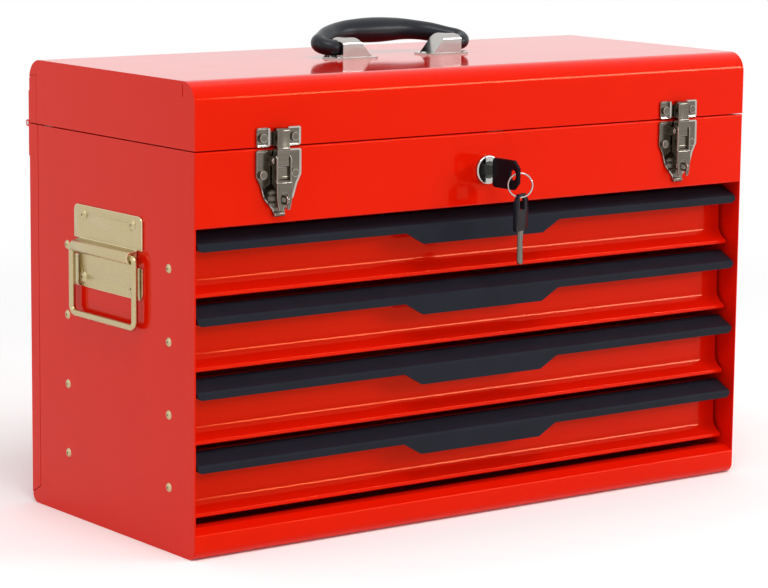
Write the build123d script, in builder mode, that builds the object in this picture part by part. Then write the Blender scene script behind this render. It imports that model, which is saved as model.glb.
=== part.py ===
"""Portable steel tool box: a lidded top compartment over four drawers on ball slides.

The frame is in millimetres. X runs along the front, +Y points to the rear, +Z up.
The origin is the middle of the base, on the surface that the box stands on.
"""

import os
from math import copysign, cos, hypot, radians, sin

from build123d import *

os.makedirs("parts", exist_ok=True)

# ---- case and lid -------------------------------------------------------------
case_width = 520.0
case_depth = 230.0
case_height = 293.0
lid_height = 48.2
seam_gap = 0.8
sheet = 1.0
base_bend = 8.0
lid_bend = 15.0
edge_round = 0.5

# strip of the rear sheet that wraps round onto each side
case_strip = 12.0
lid_strip = 10.0
strip_mitre_low = 7.5
strip_mitre_high = 14.6
strip_gap = 0.4
joggle_lap = 1.0
joggle_margin = 16.0
joggle_clearance = 0.1
lid_strip_drop = 14.0
lid_mitre = 3.0
relief_slot_width = 0.9
relief_slot_length = 8.0
relief_slot_drop = 3.0

# front rail under the drawers
rail_height = 18.5
rail_slope_depth = 8.0
rail_slope_rise = 4.0
rail_shelf = 11.0
rail_return = 6.0
rail_bend = 1.5

# fascia over the drawers
fascia_height = 54.5
fascia_shelf = 14.0
fascia_hem_depth = 8.0
fascia_hem_drop = 6.0
fascia_bend = 1.5

# floor of the top compartment
till_flange = 9.0
till_clearance = 0.1

# ---- drawers ------------------------------------------------------------------
drawer_count = 4
lowest_lip = 28.5
drawer_gap = 6.0
drawer_head_gap = 4.0
drawer_travel = 165.0
front_end_gap = 2.5
lip_recess = 11.5
face_recess = 20.5
lip_height = 3.2
cove_rise = 12.0
front_crease_round = 1.0
front_top_flange = 7.0
front_bottom_flange = 9.0
tray_side_gap = 12.0
tray_floor = 4.0
tray_head_room = 17.0
tray_rear_gap = 14.0
tray_hem = 4.0
tray_bend = 1.5

# pull along the top of each drawer front
pull_recess = 1.5
pull_overlap = 1.0
pull_crease_drop = 6.8
pull_edge_drop = 8.6
pull_drop = 12.6
pull_wall = 1.8
pull_top_land = 3.0
pull_crease_set = 1.2
pull_flange = 1.5
pull_flange_drop = 7.0
pull_crease_round = 0.9
pull_corner = 4.5
tab_drop = 21.7
tab_half_low = 57.0
tab_half_high = 73.0
tab_corner = 4.0

# ---- ball slides --------------------------------------------------------------
slide_rise = 19.6
slide_height = 20.0
slide_depth = 8.2
slide_sheet = 1.2
slide_front_gap = 2.5
slide_length = 188.0
ball_diameter = 3.9
ball_play = 0.05
ball_count = 4
ball_pitch = 24.0
cage_sheet = 0.8
cage_length = 96.0
cage_set_back = 2.0
cage_arm_share = 0.8
cage_web_gap = 1.0
runner_lip_gap = 0.5

# blind rivets
rivet_head = 3.4
rivet_rise = 1.3
rivet_shank = 1.6
rivet_bore = 0.9
rivet_bore_depth = 0.9
plate_rivet_head = 4.4
slide_rivet_near = 10.0
slide_rivet_far = 151.0

# ---- piano hinge and lid stay -------------------------------------------------
hinge_leaf = 1.2
hinge_leaf_height = 22.0
hinge_knuckle = 2.6
hinge_pin = 1.5
hinge_play = 0.05
hinge_offset = 3.0
hinge_rise = 0.2
knuckle_pitch = 20.0
knuckle_gap = 0.3
leaf_land = 2.8
lid_swing = 95.0

stay_radius = 28.0
stay_half_angle = 20.0
stay_width = 12.0
stay_thickness = 1.5
stay_gap = 1.8
stay_stud = 2.5
stay_stud_head = 4.0
stay_head_thickness = 1.2
stay_play = 0.05
stay_slot_play = 0.3
stay_slot_spare = 0.6

# ---- top handle ---------------------------------------------------------------
handle_axis_rise = 8.5
handle_elbow = 81.0
handle_shoulder = 38.0
handle_reach = 32.5
handle_fold = 17.0
handle_neck_bend = 7.0
handle_grip_bend = 55.0
rod_radius = 4.0
rod_inner_end = 47.0
rod_play = 0.05
grip_start = 58.0
grip_neck = 6.1
grip_arm = 6.5
grip_shoulder = 7.4
grip_middle = 9.8
grip_stations = [(0, grip_neck), (0.22, grip_arm), (0.45, grip_shoulder), (1, grip_middle)]
grip_rings = 48
bracket_wall = 1.2
bracket_inner = 29.0
bracket_outer = 57.0
bracket_top_inner = 43.0
bracket_height = 16.0
bracket_half_width = 9.0
bracket_round = 5.0
bracket_foot_inner = 24.0
bracket_foot_outer = 64.0
bracket_foot_half = 12.0
bracket_foot_corner = 5.0
bracket_rivet_y = 8.0

# ---- side handles -------------------------------------------------------------
plate_width = 95.0
plate_height = 61.0
plate_sheet = 1.5
plate_corner = 5.0
plate_drop = 83.5
plate_rivet_y = 34.0
plate_rivet_z = 23.3
barrel_radius = 4.7
barrel_stand = 5.4
barrel_flank = 5.6
barrel_notch = 7.0
bail_rod = 2.5
bail_play = 0.05
bail_half = 44.0
bail_inner_end = 24.0
bail_drop = 50.5
bail_neck_bend = 3.4
bail_bend = 5.5
bail_notch_gap = 0.6

# ---- latches ------------------------------------------------------------------
latch_spacing = 380.0
latch_sheet = 1.2
latch_half = 19.5
latch_corner = 1.5
latch_top_gap = 0.7
latch_shoulder_drop = 20.0
latch_knee_drop = 26.5
latch_knee_half = 16.0
latch_waist_drop = 36.0
latch_waist_half = 13.0
latch_neck_drop = 44.5
latch_neck_half = 5.0
latch_tip_drop = 48.5
latch_tip_half = 4.2
latch_curl = 1.6
latch_rivet_x = 13.6
latch_rivet_drop = 19.0
small_rivet_head = 2.7
small_rivet_rise = 1.1
cheek_gap = 0.5
cheek_low_drop = 14.5
cheek_high_drop = 4.0
lever_half = 6.5
lever_pivot_out = 4.6
lever_pivot_drop = 9.0
lever_round = 3.0
lever_heel_drop = 33.0
lever_web_out = 8.6
lever_web_drop = 26.5
lever_tip_drop = 44.5
lever_tip_half = 4.4
trunnion_radius = 1.5
trunnion_play = 0.05
link_half = 4.8
link_pivot_out = 4.4
link_pivot_drop = 21.0
link_eye = 2.8
link_trunnion = 1.3
link_rise = 14.2
link_hook_gap = 2.3
strike_gap = 0.3
strike_low_rise = 1.6
strike_high_rise = 14.5
strike_inner = 7.5
strike_outer = 19.0
strike_rivet_rise = 7.2
strike_lip_half = 4.2
strike_lip_reach = 5.0
staple_half = 0.8
staple_low_drop = 40.5
staple_high_drop = 33.5
staple_reach = 4.6
staple_round = 1.8
staple_hole = 1.5
staple_hole_inset = 2.6
teardrop_half = 2.4
teardrop_gap = 1.3

# ---- lock, key and ring -------------------------------------------------------
lock_drop = 28.0
lock_flange = 11.0
lock_flange_depth = 3.0
lock_flange_round = 1.2
lock_barrel = 9.0
lock_play = 0.05
lock_barrel_length = 18.0
lock_nut_radius = 12.5
lock_nut_depth = 3.0
plug_radius = 6.5
plug_play = 0.05
cam_gap = 0.6
cam_length = 22.0
cam_half = 4.0
cam_eye = 5.5
cam_sheet = 2.5
cam_screw = 3.2
cam_screw_shank = 1.6
cam_screw_depth = 3.0
catch_set_back = 12.8
catch_near = 11.0
catch_far = 25.0
catch_sheet = 1.5
catch_bend = 2.5
catch_foot_gap = 1.0
catch_foot = 16.0
catch_seat_low_rise = 5.5
catch_seat_high_rise = 18.0
key_start = 8.5
key_length = 30.0
key_height = 22.0
key_drop = 1.0
key_thick = 2.6
key_chamfer = 5.5
key_round = 3.0
key_hole_inset = 6.4
key_hole = 4.2
blade_half = 3.8
blade_thick = 2.0
blade_depth = 19.0
blade_end_gap = 1.0
blade_socket = 2.0
blade_play = 0.05
ring_radius = 9.0
ring_wire = 0.6
ring_turn_set = 0.58
ring_turn = 36.6
ring_drop = 56.0

# ---- worked out from the sizes above --------------------------------------------
half_width = case_width / 2
half_depth = case_depth / 2
inner_half = half_width - sheet
lid_bottom = case_height + seam_gap
lid_top = lid_bottom + lid_height
front = -half_depth
rear = half_depth
fascia_bottom = case_height - fascia_height
till_floor_low = fascia_bottom + sheet
drawer_pitch = (fascia_bottom - lowest_lip + drawer_gap - drawer_head_gap) / drawer_count
pull_top = drawer_pitch - drawer_gap
front_top = pull_top - pull_overlap
pull_crease = pull_top - pull_crease_drop
pull_front_edge = pull_top - pull_edge_drop
pull_bottom = pull_top - pull_drop
pull_flange_low = pull_top - pull_flange_drop
tab_bottom = pull_top - tab_drop
tray_height = drawer_pitch - tray_head_room
plate_rise = case_height - plate_drop
lock_z = case_height - lock_drop
catch_seat_low = case_height + catch_seat_low_rise
catch_seat_high = case_height + catch_seat_high_rise
latch_shoulder = case_height - latch_shoulder_drop
latch_knee = case_height - latch_knee_drop
latch_waist = case_height - latch_waist_drop
latch_neck = case_height - latch_neck_drop
latch_tip = case_height - latch_tip_drop
latch_rivet_z = case_height - latch_rivet_drop
cheek_low = case_height - cheek_low_drop
cheek_high = case_height - cheek_high_drop
lever_pivot_z = case_height - lever_pivot_drop
lever_heel = case_height - lever_heel_drop
lever_web_top = case_height - lever_web_drop
lever_tip = case_height - lever_tip_drop
link_pivot_z = case_height - link_pivot_drop
link_top = case_height + link_rise
strike_low = case_height + strike_low_rise
strike_high = case_height + strike_high_rise
strike_rivet_z = case_height + strike_rivet_rise
staple_low = case_height - staple_low_drop
staple_high = case_height - staple_high_drop
front_half = inner_half - front_end_gap
face_y = front + face_recess
lip_y = front + lip_recess
pull_y = front + pull_recess
tray_half = inner_half - tray_side_gap
tray_front = face_y + sheet
tray_rear = rear - tray_rear_gap
slide_front = tray_front + slide_front_gap
slide_rivets = [slide_front + slide_rivet_near, slide_front + slide_rivet_far]
hinge_y = rear + hinge_offset
hinge_z = case_height + hinge_rise
lever_y = front - lever_pivot_out
link_y = front - link_pivot_out
handle_z = lid_top + handle_axis_rise
lip_levels = [lowest_lip + drawer_pitch * step for step in reversed(range(drawer_count))]
slide_levels = [lip + slide_rise for lip in lip_levels]
latch_centres = [-latch_spacing / 2, latch_spacing / 2]
latch_rivets = [centre + step for centre in latch_centres for step in (-latch_rivet_x, latch_rivet_x)]
sides = (-1, 1)
bracket_rivet_inner = (bracket_foot_inner + bracket_inner) / 2
bracket_rivet_outer = (bracket_foot_outer + bracket_outer) / 2
bracket_rivets = [(side * bracket_rivet_inner, 0) for side in sides]
bracket_rivets += [(side * bracket_rivet_outer, end * bracket_rivet_y) for side in sides for end in sides]
side_names = {-1: "left", 1: "right"}


def save(piece, label):
    """Label one finished piece and write its file."""
    piece.part.label = label
    export_step(piece.part, f"parts/{label}.step")


def block(low, high, mode=Mode.ADD):
    """Add a box between two opposite corners, whichever way round they are."""
    near = tuple(min(pair) for pair in zip(low, high))
    size = tuple(abs(b - a) for a, b in zip(low, high))
    with Locations(near):
        Box(*size, align=(Align.MIN, Align.MIN, Align.MIN), mode=mode)


def rod_x(start, end, y, z, radius, mode=Mode.ADD):
    """Add a round rod along X between two stations."""
    with Locations(Location((min(start, end), y, z), (0, 90, 0))):
        Cylinder(radius, abs(end - start), align=(Align.CENTER, Align.CENTER, Align.MIN), mode=mode)


def rod_y(start, end, x, z, radius, mode=Mode.ADD):
    """Add a round rod along Y between two stations."""
    with Locations(Location((x, max(start, end), z), (90, 0, 0))):
        Cylinder(radius, abs(end - start), align=(Align.CENTER, Align.CENTER, Align.MIN), mode=mode)


def other_face(points, bends, thickness):
    """Corners and bend radii of a folded line moved to its left by a thickness."""
    spots = [Vector(*point) for point in points]
    steps = [(far - near).normalized() for near, far in zip(spots, spots[1:])]
    shifts = [Vector(-step.Y, step.X) * thickness for step in steps]
    corners = [spots[0] + shifts[0]]
    radii = []
    for spot, before, after, bend in zip(spots[1:], shifts, shifts[1:], bends):
        square = thickness**2
        corners.append(spot + (before + after) * (square / (square + before.dot(after))))
        radii.append(bend - copysign(thickness, before.cross(after).Z * thickness))
    corners.append(spots[-1] + shifts[-1])
    return corners, radii


def bent_sheet(points, bends, thickness, start, end):
    """Add a folded sheet along X, its thickness to the left of a bent line in YZ."""
    corners, radii = other_face(points, bends, thickness)
    with BuildSketch(Plane.YZ.offset(start)) as profile:
        with BuildLine():
            near = FilletPolyline(*points, radius=bends)
            far = FilletPolyline(*corners, radius=radii)
            Line(near @ 0, far @ 0)
            Line(near @ 1, far @ 1)
        make_face()
    extrude(profile.sketch, amount=end - start)


def rivet(seat, out, head, rise, reach):
    """Add one domed rivet with a pierced head: its seat, its facing, and its shank's reach."""
    seat = Vector(*seat)
    out = Vector(*out)
    across = Plane(origin=seat, z_dir=out).x_dir
    with BuildSketch(Plane(origin=seat, x_dir=across, z_dir=across.cross(out))) as profile:
        with BuildLine():
            dome = CenterArc((0, 0), head, 0, 90, mode=Mode.PRIVATE)
            middle = dome @ 0.5
            ThreePointArc((head, 0), (middle.X, middle.Y * rise / head), (rivet_bore, rise))
            Polyline((rivet_bore, rise), (rivet_bore, rise - rivet_bore_depth),
                     (0, rise - rivet_bore_depth), (0, -reach), (rivet_shank, -reach),
                     (rivet_shank, 0), (head, 0))
        make_face()
    revolve(profile.sketch, axis=Axis(seat, out))


# ---- case -----------------------------------------------------------------------
def make_case_wrap():
    """Rear wall, base and front rail folded from one sheet, with strips onto the sides."""
    slope_y = front + rail_slope_depth
    slope_z = rail_height + rail_slope_rise
    base = [(rear, case_height), (rear, 0), (front, 0), (front, rail_height)]
    shelf = [(slope_y, slope_z), (slope_y + rail_shelf, slope_z)]
    shelf.append((slope_y + rail_shelf, slope_z - rail_return))
    bends = [base_bend, base_bend, rail_bend, rail_bend, rail_bend]
    with BuildPart() as wrap:
        bent_sheet(base + shelf, bends, -sheet, -inner_half, inner_half)
        for side in sides:
            with BuildSketch(Plane.YZ.offset(side * inner_half)):
                Polygon(*case_strip_outline(0), align=None)
            extrude(amount=side * sheet)
    save(wrap, "case_wrap")


def case_strip_outline(grow):
    """Corners in YZ of the rear strip on a side, grown by the joint's gap."""
    inner = rear - case_strip - grow
    low_inner = strip_mitre_high - grow
    low_outer = strip_mitre_low - grow
    return [(inner, low_inner), (rear, low_outer), (rear, case_height), (inner, case_height)]


def make_side_panels():
    """Flat side panels with rounded lower corners and a joggle behind the rear strip."""
    for side in sides:
        with BuildPart() as panel:
            with BuildSketch(Plane.YZ.offset(side * inner_half)) as outline:
                with Locations((0, case_height / 2)):
                    Rectangle(case_depth, case_height)
                fillet(outline.vertices().group_by(Axis.Y)[0], base_bend)
                Polygon(*case_strip_outline(strip_gap), align=None, mode=Mode.SUBTRACT)
            extrude(amount=side * sheet)
            outer = panel.faces().sort_by(Axis((0, 0, 0), (side, 0, 0)))[-1]
            fillet(outer.edges(), edge_round)
            near = rear - case_strip - strip_gap - joggle_lap
            inside = side * (inner_half - sheet)
            top = case_height - sheet
            block((side * inner_half, near, joggle_margin), (inside, rear - sheet - joggle_clearance, top))
            for rivet_y in slide_rivets:
                for level in slide_levels:
                    rod_x(side * inner_half, side * half_width, rivet_y, level, rivet_shank, Mode.SUBTRACT)
            for rivet_y in (-plate_rivet_y, plate_rivet_y):
                for rivet_z in (-plate_rivet_z, plate_rivet_z):
                    rod_x(side * inner_half, side * half_width, rivet_y, plate_rise + rivet_z,
                          rivet_shank, Mode.SUBTRACT)
        save(panel, f"{side_names[side]}_side_panel")


def make_fascia():
    """Front panel over the drawers, with a hem above and a shelf below."""
    hem_y = front + fascia_hem_depth
    points = [(hem_y, case_height - fascia_hem_drop), (hem_y, case_height), (front, case_height)]
    points += [(front, fascia_bottom), (front + fascia_shelf, fascia_bottom)]
    with BuildPart() as fascia:
        bent_sheet(points, 3 * [fascia_bend], sheet, -inner_half, inner_half)
        rod_y(front, front + sheet, 0, lock_z, lock_barrel + lock_play, Mode.SUBTRACT)
        for x in latch_rivets:
            rod_y(front, front + sheet, x, latch_rivet_z, rivet_shank, Mode.SUBTRACT)
    save(fascia, "front_fascia")


def make_till_floor():
    """Floor of the top compartment, turned down at the rear."""
    fold = rear - 2 * sheet
    floor_half = inner_half - sheet - till_clearance
    points = [(front + fascia_bend, till_floor_low), (fold, till_floor_low)]
    points.append((fold, till_floor_low - till_flange))
    with BuildPart() as floor:
        bent_sheet(points, [fascia_bend], sheet, -floor_half, floor_half)
    save(floor, "till_floor")


def make_hinge():
    """Piano hinge on the rear: two leaves with alternate knuckles on one pin."""
    count = int(case_width // knuckle_pitch)
    run = count * knuckle_pitch
    stations = [-run / 2 + knuckle_pitch * step for step in range(count)]
    for label, first, direction in (("lower_hinge_leaf", 0, -1), ("upper_hinge_leaf", 1, 1)):
        edge = hinge_z + direction * leaf_land
        far = edge + direction * hinge_leaf_height
        with BuildPart() as leaf:
            block((-run / 2, rear, edge), (run / 2, rear + hinge_leaf, far))
            for start in stations[first::2]:
                end = start + knuckle_pitch - knuckle_gap
                block((start, rear, hinge_z), (end, rear + hinge_leaf, edge))
                rod_x(start, end, hinge_y, hinge_z, hinge_knuckle)
            rod_x(-half_width, half_width, hinge_y, hinge_z, hinge_pin + hinge_play, Mode.SUBTRACT)
        save(leaf, label)
    with BuildPart() as pin:
        rod_x(-run / 2, run / 2, hinge_y, hinge_z, hinge_pin)
    save(pin, "hinge_pin")


# ---- lid ------------------------------------------------------------------------
def lid_strip_outline(grow):
    """Corners in YZ of the rear strip on an end of the lid, grown by the joint's gap."""
    inner = rear - lid_strip - grow
    top = lid_top - lid_strip_drop + grow
    return [(inner, lid_bottom), (rear, lid_bottom), (rear, top), (inner, top + lid_mitre)]


def make_lid_shell():
    """Top of the lid with its front and rear skirts, folded from one sheet."""
    points = [(front, lid_bottom), (front, lid_top), (rear, lid_top), (rear, lid_bottom)]
    with BuildPart() as shell:
        bent_sheet(points, 2 * [lid_bend], -sheet, -inner_half, inner_half)
        for side in sides:
            with BuildSketch(Plane.YZ.offset(side * inner_half)):
                Polygon(*lid_strip_outline(0), align=None)
            extrude(amount=side * sheet)
        with Locations(*[(x, y, lid_top) for x, y in bracket_rivets]):
            Cylinder(rivet_shank, 2 * sheet, mode=Mode.SUBTRACT)
        for x in latch_rivets:
            rod_y(front, front + sheet, x, strike_rivet_z, rivet_shank, Mode.SUBTRACT)
    save(shell, "lid_shell")


def make_lid_ends():
    """End panels of the lid, with the relief slot beside the front bend."""
    slot_y = front + lid_bend + relief_slot_width / 2
    slot_z = lid_top - relief_slot_drop - relief_slot_length / 2
    for side in sides:
        with BuildPart() as end:
            with BuildSketch(Plane.YZ.offset(side * inner_half)) as outline:
                with Locations((0, lid_bottom + lid_height / 2)):
                    Rectangle(case_depth, lid_height)
                fillet(outline.vertices().group_by(Axis.Y)[-1], lid_bend)
                Polygon(*lid_strip_outline(strip_gap), align=None, mode=Mode.SUBTRACT)
                with Locations((slot_y, slot_z)):
                    Rectangle(relief_slot_width, relief_slot_length, mode=Mode.SUBTRACT)
            extrude(amount=side * sheet)
        save(end, f"{side_names[side]}_lid_end")


def make_lid_stay():
    """Slotted stay, its stud on the lid's end panel and its stud on the side panel."""
    angle = radians(stay_half_angle)
    stud_y = hinge_y - stay_radius * cos(angle)
    lid_stud_z = hinge_z + stay_radius * sin(angle)
    case_stud_z = hinge_z - stay_radius * sin(angle)
    open_reach = 2 * stay_radius * sin(radians(stay_half_angle + lid_swing / 2))
    shut_reach = lid_stud_z - case_stud_z
    near = -inner_half + stay_gap
    far = near + stay_thickness
    slot_half = stay_stud + stay_slot_play
    top = lid_stud_z
    low = lid_stud_z - open_reach - stay_slot_spare
    slot_top = lid_stud_z - shut_reach + stay_slot_spare
    with BuildPart() as stay:
        with BuildSketch(Plane.YZ.offset(near)):
            with Locations((stud_y, (top + low) / 2)):
                SlotCenterToCenter(top - low, stay_width, rotation=90)
            with Locations((stud_y, (slot_top + low) / 2)):
                SlotCenterToCenter(slot_top - low, 2 * slot_half, rotation=90, mode=Mode.SUBTRACT)
            with Locations((stud_y, lid_stud_z)):
                Circle(stay_stud + stay_play, mode=Mode.SUBTRACT)
        extrude(amount=stay_thickness)
    save(stay, "lid_stay")
    head = far + stay_play
    for label, level in (("lid_stay_lid_stud", lid_stud_z), ("lid_stay_case_stud", case_stud_z)):
        with BuildPart() as stud:
            rod_x(-inner_half, head, stud_y, level, stay_stud)
            rod_x(-inner_half, near - stay_play, stud_y, level, stay_stud_head)
            rod_x(head, head + stay_head_thickness, stud_y, level, stay_stud_head)
        save(stud, label)


# ---- top handle -----------------------------------------------------------------
def handle_plane():
    """Plane of the folded handle: X along the box, Y along its arms, tilted off the lid."""
    tilt = radians(handle_fold)
    return Plane(origin=(0, 0, handle_z), x_dir=(1, 0, 0), z_dir=(0, -sin(tilt), cos(tilt)))


def handle_route():
    """Centre line of the whole handle rod, from one bracket round to the other."""
    points = [(-rod_inner_end, 0), (-handle_elbow, 0), (-handle_shoulder, handle_reach)]
    points += [(-x, y) for x, y in reversed(points)]
    with BuildLine(handle_plane(), mode=Mode.PRIVATE) as route:
        bends = [handle_neck_bend, handle_grip_bend, handle_grip_bend, handle_neck_bend]
        FilletPolyline(*points, radius=bends)
    return route.wire()


def grip_radius(share):
    """Radius of the grip at a share of its length, swelling towards the middle."""
    from_end = min(share, 1 - share) * 2
    for (start, low), (end, high) in zip(grip_stations, grip_stations[1:]):
        if from_end <= end:
            turn = (1 - cos(radians(180) * (from_end - start) / (end - start))) / 2
            return low + (high - low) * turn
    return grip_middle


def make_top_handle():
    """Steel rod bent to a bail, with a soft grip moulded over it."""
    route = handle_route()
    length = route.length
    neck = (grip_start - rod_inner_end) / length
    with BuildPart() as rod:
        with BuildSketch(Plane(origin=route @ 0, z_dir=route % 0)):
            Circle(rod_radius)
        sweep(path=route)
    save(rod, "top_handle_rod")
    upright = handle_plane().z_dir
    with BuildPart() as grip:
        for ring in range(grip_rings + 1):
            share = ring / grip_rings
            station = neck + share * (1 - 2 * neck)
            with BuildSketch(Plane(origin=route @ station, x_dir=upright, z_dir=route % station)):
                Circle(grip_radius(share))
        loft()
        add(rod.part, mode=Mode.SUBTRACT)
    save(grip, "top_handle_grip")


def bracket_hump(side, inset):
    """Solid hump of one bracket, a box with one sloping end, set in from its outer faces."""
    rise = bracket_height - inset
    lean = (bracket_top_inner - bracket_inner) / bracket_height
    inner = bracket_inner + inset * hypot(1, lean)
    outer = bracket_outer - inset
    half = bracket_half_width - inset
    with BuildPart() as hump:
        with BuildSketch(Plane.XZ.offset(-half)):
            Polygon((side * inner, lid_top), (side * outer, lid_top), (side * outer, lid_top + rise),
                    (side * (inner + lean * rise), lid_top + rise), align=None)
        extrude(amount=2 * half)
        fillet(hump.edges().group_by(Axis.Z)[-1], bracket_round - inset)
    return hump.part


def make_handle_brackets():
    """Pressed steel brackets that carry the handle rod, one at each end."""
    length = bracket_foot_outer - bracket_foot_inner
    humps = [bracket_hump(side, 0) for side in sides]
    hollows = [bracket_hump(side, bracket_wall) for side in sides]
    with BuildPart() as brackets:
        with BuildSketch(Plane.XY.offset(lid_top)):
            for side in sides:
                with Locations((side * (bracket_foot_inner + bracket_foot_outer) / 2, 0)):
                    RectangleRounded(length, 2 * bracket_foot_half, bracket_foot_corner)
            with Locations(*bracket_rivets):
                Circle(rivet_shank, mode=Mode.SUBTRACT)
        extrude(amount=bracket_wall)
        add(humps)
        add(hollows, mode=Mode.SUBTRACT)
        for side in sides:
            rod_x(side * rod_inner_end, side * bracket_outer, 0, handle_z, rod_radius + rod_play,
                  Mode.SUBTRACT)
    save(brackets, "handle_brackets")


def make_lid_rivets():
    """Rivets of the handle brackets and of the latch strikes."""
    with BuildPart() as rivets:
        for x, y in bracket_rivets:
            rivet((x, y, lid_top + bracket_wall), (0, 0, 1), small_rivet_head, small_rivet_rise,
                  bracket_wall + sheet)
        for x in latch_rivets:
            rivet((x, front - latch_sheet, strike_rivet_z), (0, -1, 0), small_rivet_head,
                  small_rivet_rise, latch_sheet + sheet)
    save(rivets, "lid_rivets")


# ---- side handles ---------------------------------------------------------------
def make_side_handle_plates():
    """Pressed plates with a rolled barrel across the middle for the bail."""
    crown = plate_rise + barrel_flank
    notch = bail_half - bail_neck_bend - bail_notch_gap
    with BuildPart() as plates:
        for side in sides:
            barrel_x = side * (half_width + barrel_stand)
            back = side * half_width
            face = side * (half_width + plate_sheet)
            with BuildSketch(Plane.YZ.offset(back)):
                with Locations((0, plate_rise)):
                    RectangleRounded(plate_width, plate_height, plate_corner)
                with Locations((0, plate_rise)), GridLocations(2 * plate_rivet_y, 2 * plate_rivet_z, 2, 2):
                    Circle(rivet_shank, mode=Mode.SUBTRACT)
            extrude(amount=side * plate_sheet)
            with BuildSketch(Plane.XZ.offset(-plate_width / 2)):
                with Locations((barrel_x, plate_rise)):
                    Circle(barrel_radius)
                Polygon((back, crown), (face, crown), (barrel_x, plate_rise + barrel_radius),
                        (barrel_x, plate_rise - barrel_radius), (back, plate_rise - barrel_radius),
                        align=None)
            extrude(amount=plate_width)
            for end in sides:
                block((back, end * notch, plate_rise - barrel_notch),
                      (side * (half_width + 3 * barrel_stand), end * plate_width, crown), Mode.SUBTRACT)
            rod_y(-plate_width / 2, plate_width / 2, barrel_x, plate_rise, bail_rod + bail_play,
                  Mode.SUBTRACT)
    save(plates, "side_handle_plates")


def make_side_bails():
    """Wire bails: their ends turn in the barrels and stop short of each other inside."""
    low = plate_rise - bail_drop
    corners = [(bail_inner_end, plate_rise), (bail_half, plate_rise), (bail_half, low)]
    corners += [(-y, z) for y, z in reversed(corners)]
    bends = [bail_neck_bend, bail_bend, bail_bend, bail_neck_bend]
    for side in sides:
        with BuildPart() as bail:
            with BuildLine(Plane.YZ.offset(side * (half_width + barrel_stand))) as loop:
                FilletPolyline(*corners, radius=bends)
            with BuildSketch(Plane(origin=loop.wire() @ 0, z_dir=loop.wire() % 0)):
                Circle(bail_rod)
            sweep(path=loop.wire())
        save(bail, f"{side_names[side]}_side_bail")


def make_case_rivets():
    """Rivets of the slides, the side handles and the latch bases."""
    with BuildPart() as rivets:
        for side in sides:
            for y in slide_rivets:
                for level in slide_levels:
                    rivet((side * half_width, y, level), (side, 0, 0), rivet_head, rivet_rise,
                          sheet + slide_sheet)
            for y in (-plate_rivet_y, plate_rivet_y):
                for z in (plate_rise - plate_rivet_z, plate_rise + plate_rivet_z):
                    rivet((side * (half_width + plate_sheet), y, z), (side, 0, 0), plate_rivet_head,
                          rivet_rise, plate_sheet + sheet)
        for x in latch_rivets:
            rivet((x, front - latch_sheet, latch_rivet_z), (0, -1, 0), small_rivet_head,
                  small_rivet_rise, latch_sheet + sheet)
    save(rivets, "case_rivets")


# ---- latches --------------------------------------------------------------------
def make_latch_bases():
    """Tapered base plates with two cheeks for the lever and a staple for a padlock."""
    top = case_height - latch_top_gap
    cheek_in = lever_half + cheek_gap
    with BuildPart() as bases:
        for centre in latch_centres:
            outline = [(latch_half, top), (latch_half, latch_shoulder), (latch_knee_half, latch_knee)]
            outline += [(latch_waist_half, latch_waist), (latch_neck_half, latch_neck)]
            outline += [(latch_tip_half, latch_tip)]
            with BuildSketch(Plane.XZ.offset(-front)) as plate:
                Polygon(*both_halves(outline, centre), align=None)
                fillet(plate.vertices().group_by(Axis.Y)[-1], latch_corner)
                with Locations(*[(centre + side * latch_rivet_x, latch_rivet_z) for side in sides]):
                    Circle(rivet_shank, mode=Mode.SUBTRACT)
            extrude(amount=latch_sheet)
            curl = front - latch_sheet - latch_curl
            with BuildSketch(Plane.YZ.offset(centre - latch_tip_half)):
                Polygon((front, latch_tip), (front - latch_sheet, latch_tip + latch_sheet),
                        (curl, latch_tip), (curl, latch_tip - latch_sheet), align=None)
            extrude(amount=2 * latch_tip_half)
            for side in sides:
                with BuildSketch(Plane.YZ.offset(centre + side * cheek_in)):
                    Polygon((front, cheek_low), (front, cheek_high), (lever_y, cheek_high),
                            (lever_y - lever_round, lever_pivot_z), (lever_y, cheek_low), align=None)
                    with Locations((lever_y, lever_pivot_z)):
                        Circle(lever_round)
                        Circle(trunnion_radius + trunnion_play, mode=Mode.SUBTRACT)
                extrude(amount=side * latch_sheet)
            tongue = front - lever_web_out - latch_sheet - staple_reach
            middle = (staple_low + staple_high) / 2
            with BuildSketch(Plane.YZ.offset(centre - staple_half)) as staple:
                Polygon((front, staple_low), (front, staple_high), (tongue, staple_high),
                        (tongue, staple_low), align=None)
                fillet(staple.vertices().group_by(Axis.X)[0], staple_round)
                with Locations((tongue + staple_hole_inset, middle)):
                    Circle(staple_hole, mode=Mode.SUBTRACT)
            extrude(amount=2 * staple_half)
    save(bases, "latch_bases")


def both_halves(outline, centre):
    """Corners of an outline and of its mirror image about a centre line."""
    mirrored = [(-x, z) for x, z in reversed(outline)]
    return [(centre + x, z) for x, z in outline + mirrored]


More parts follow.
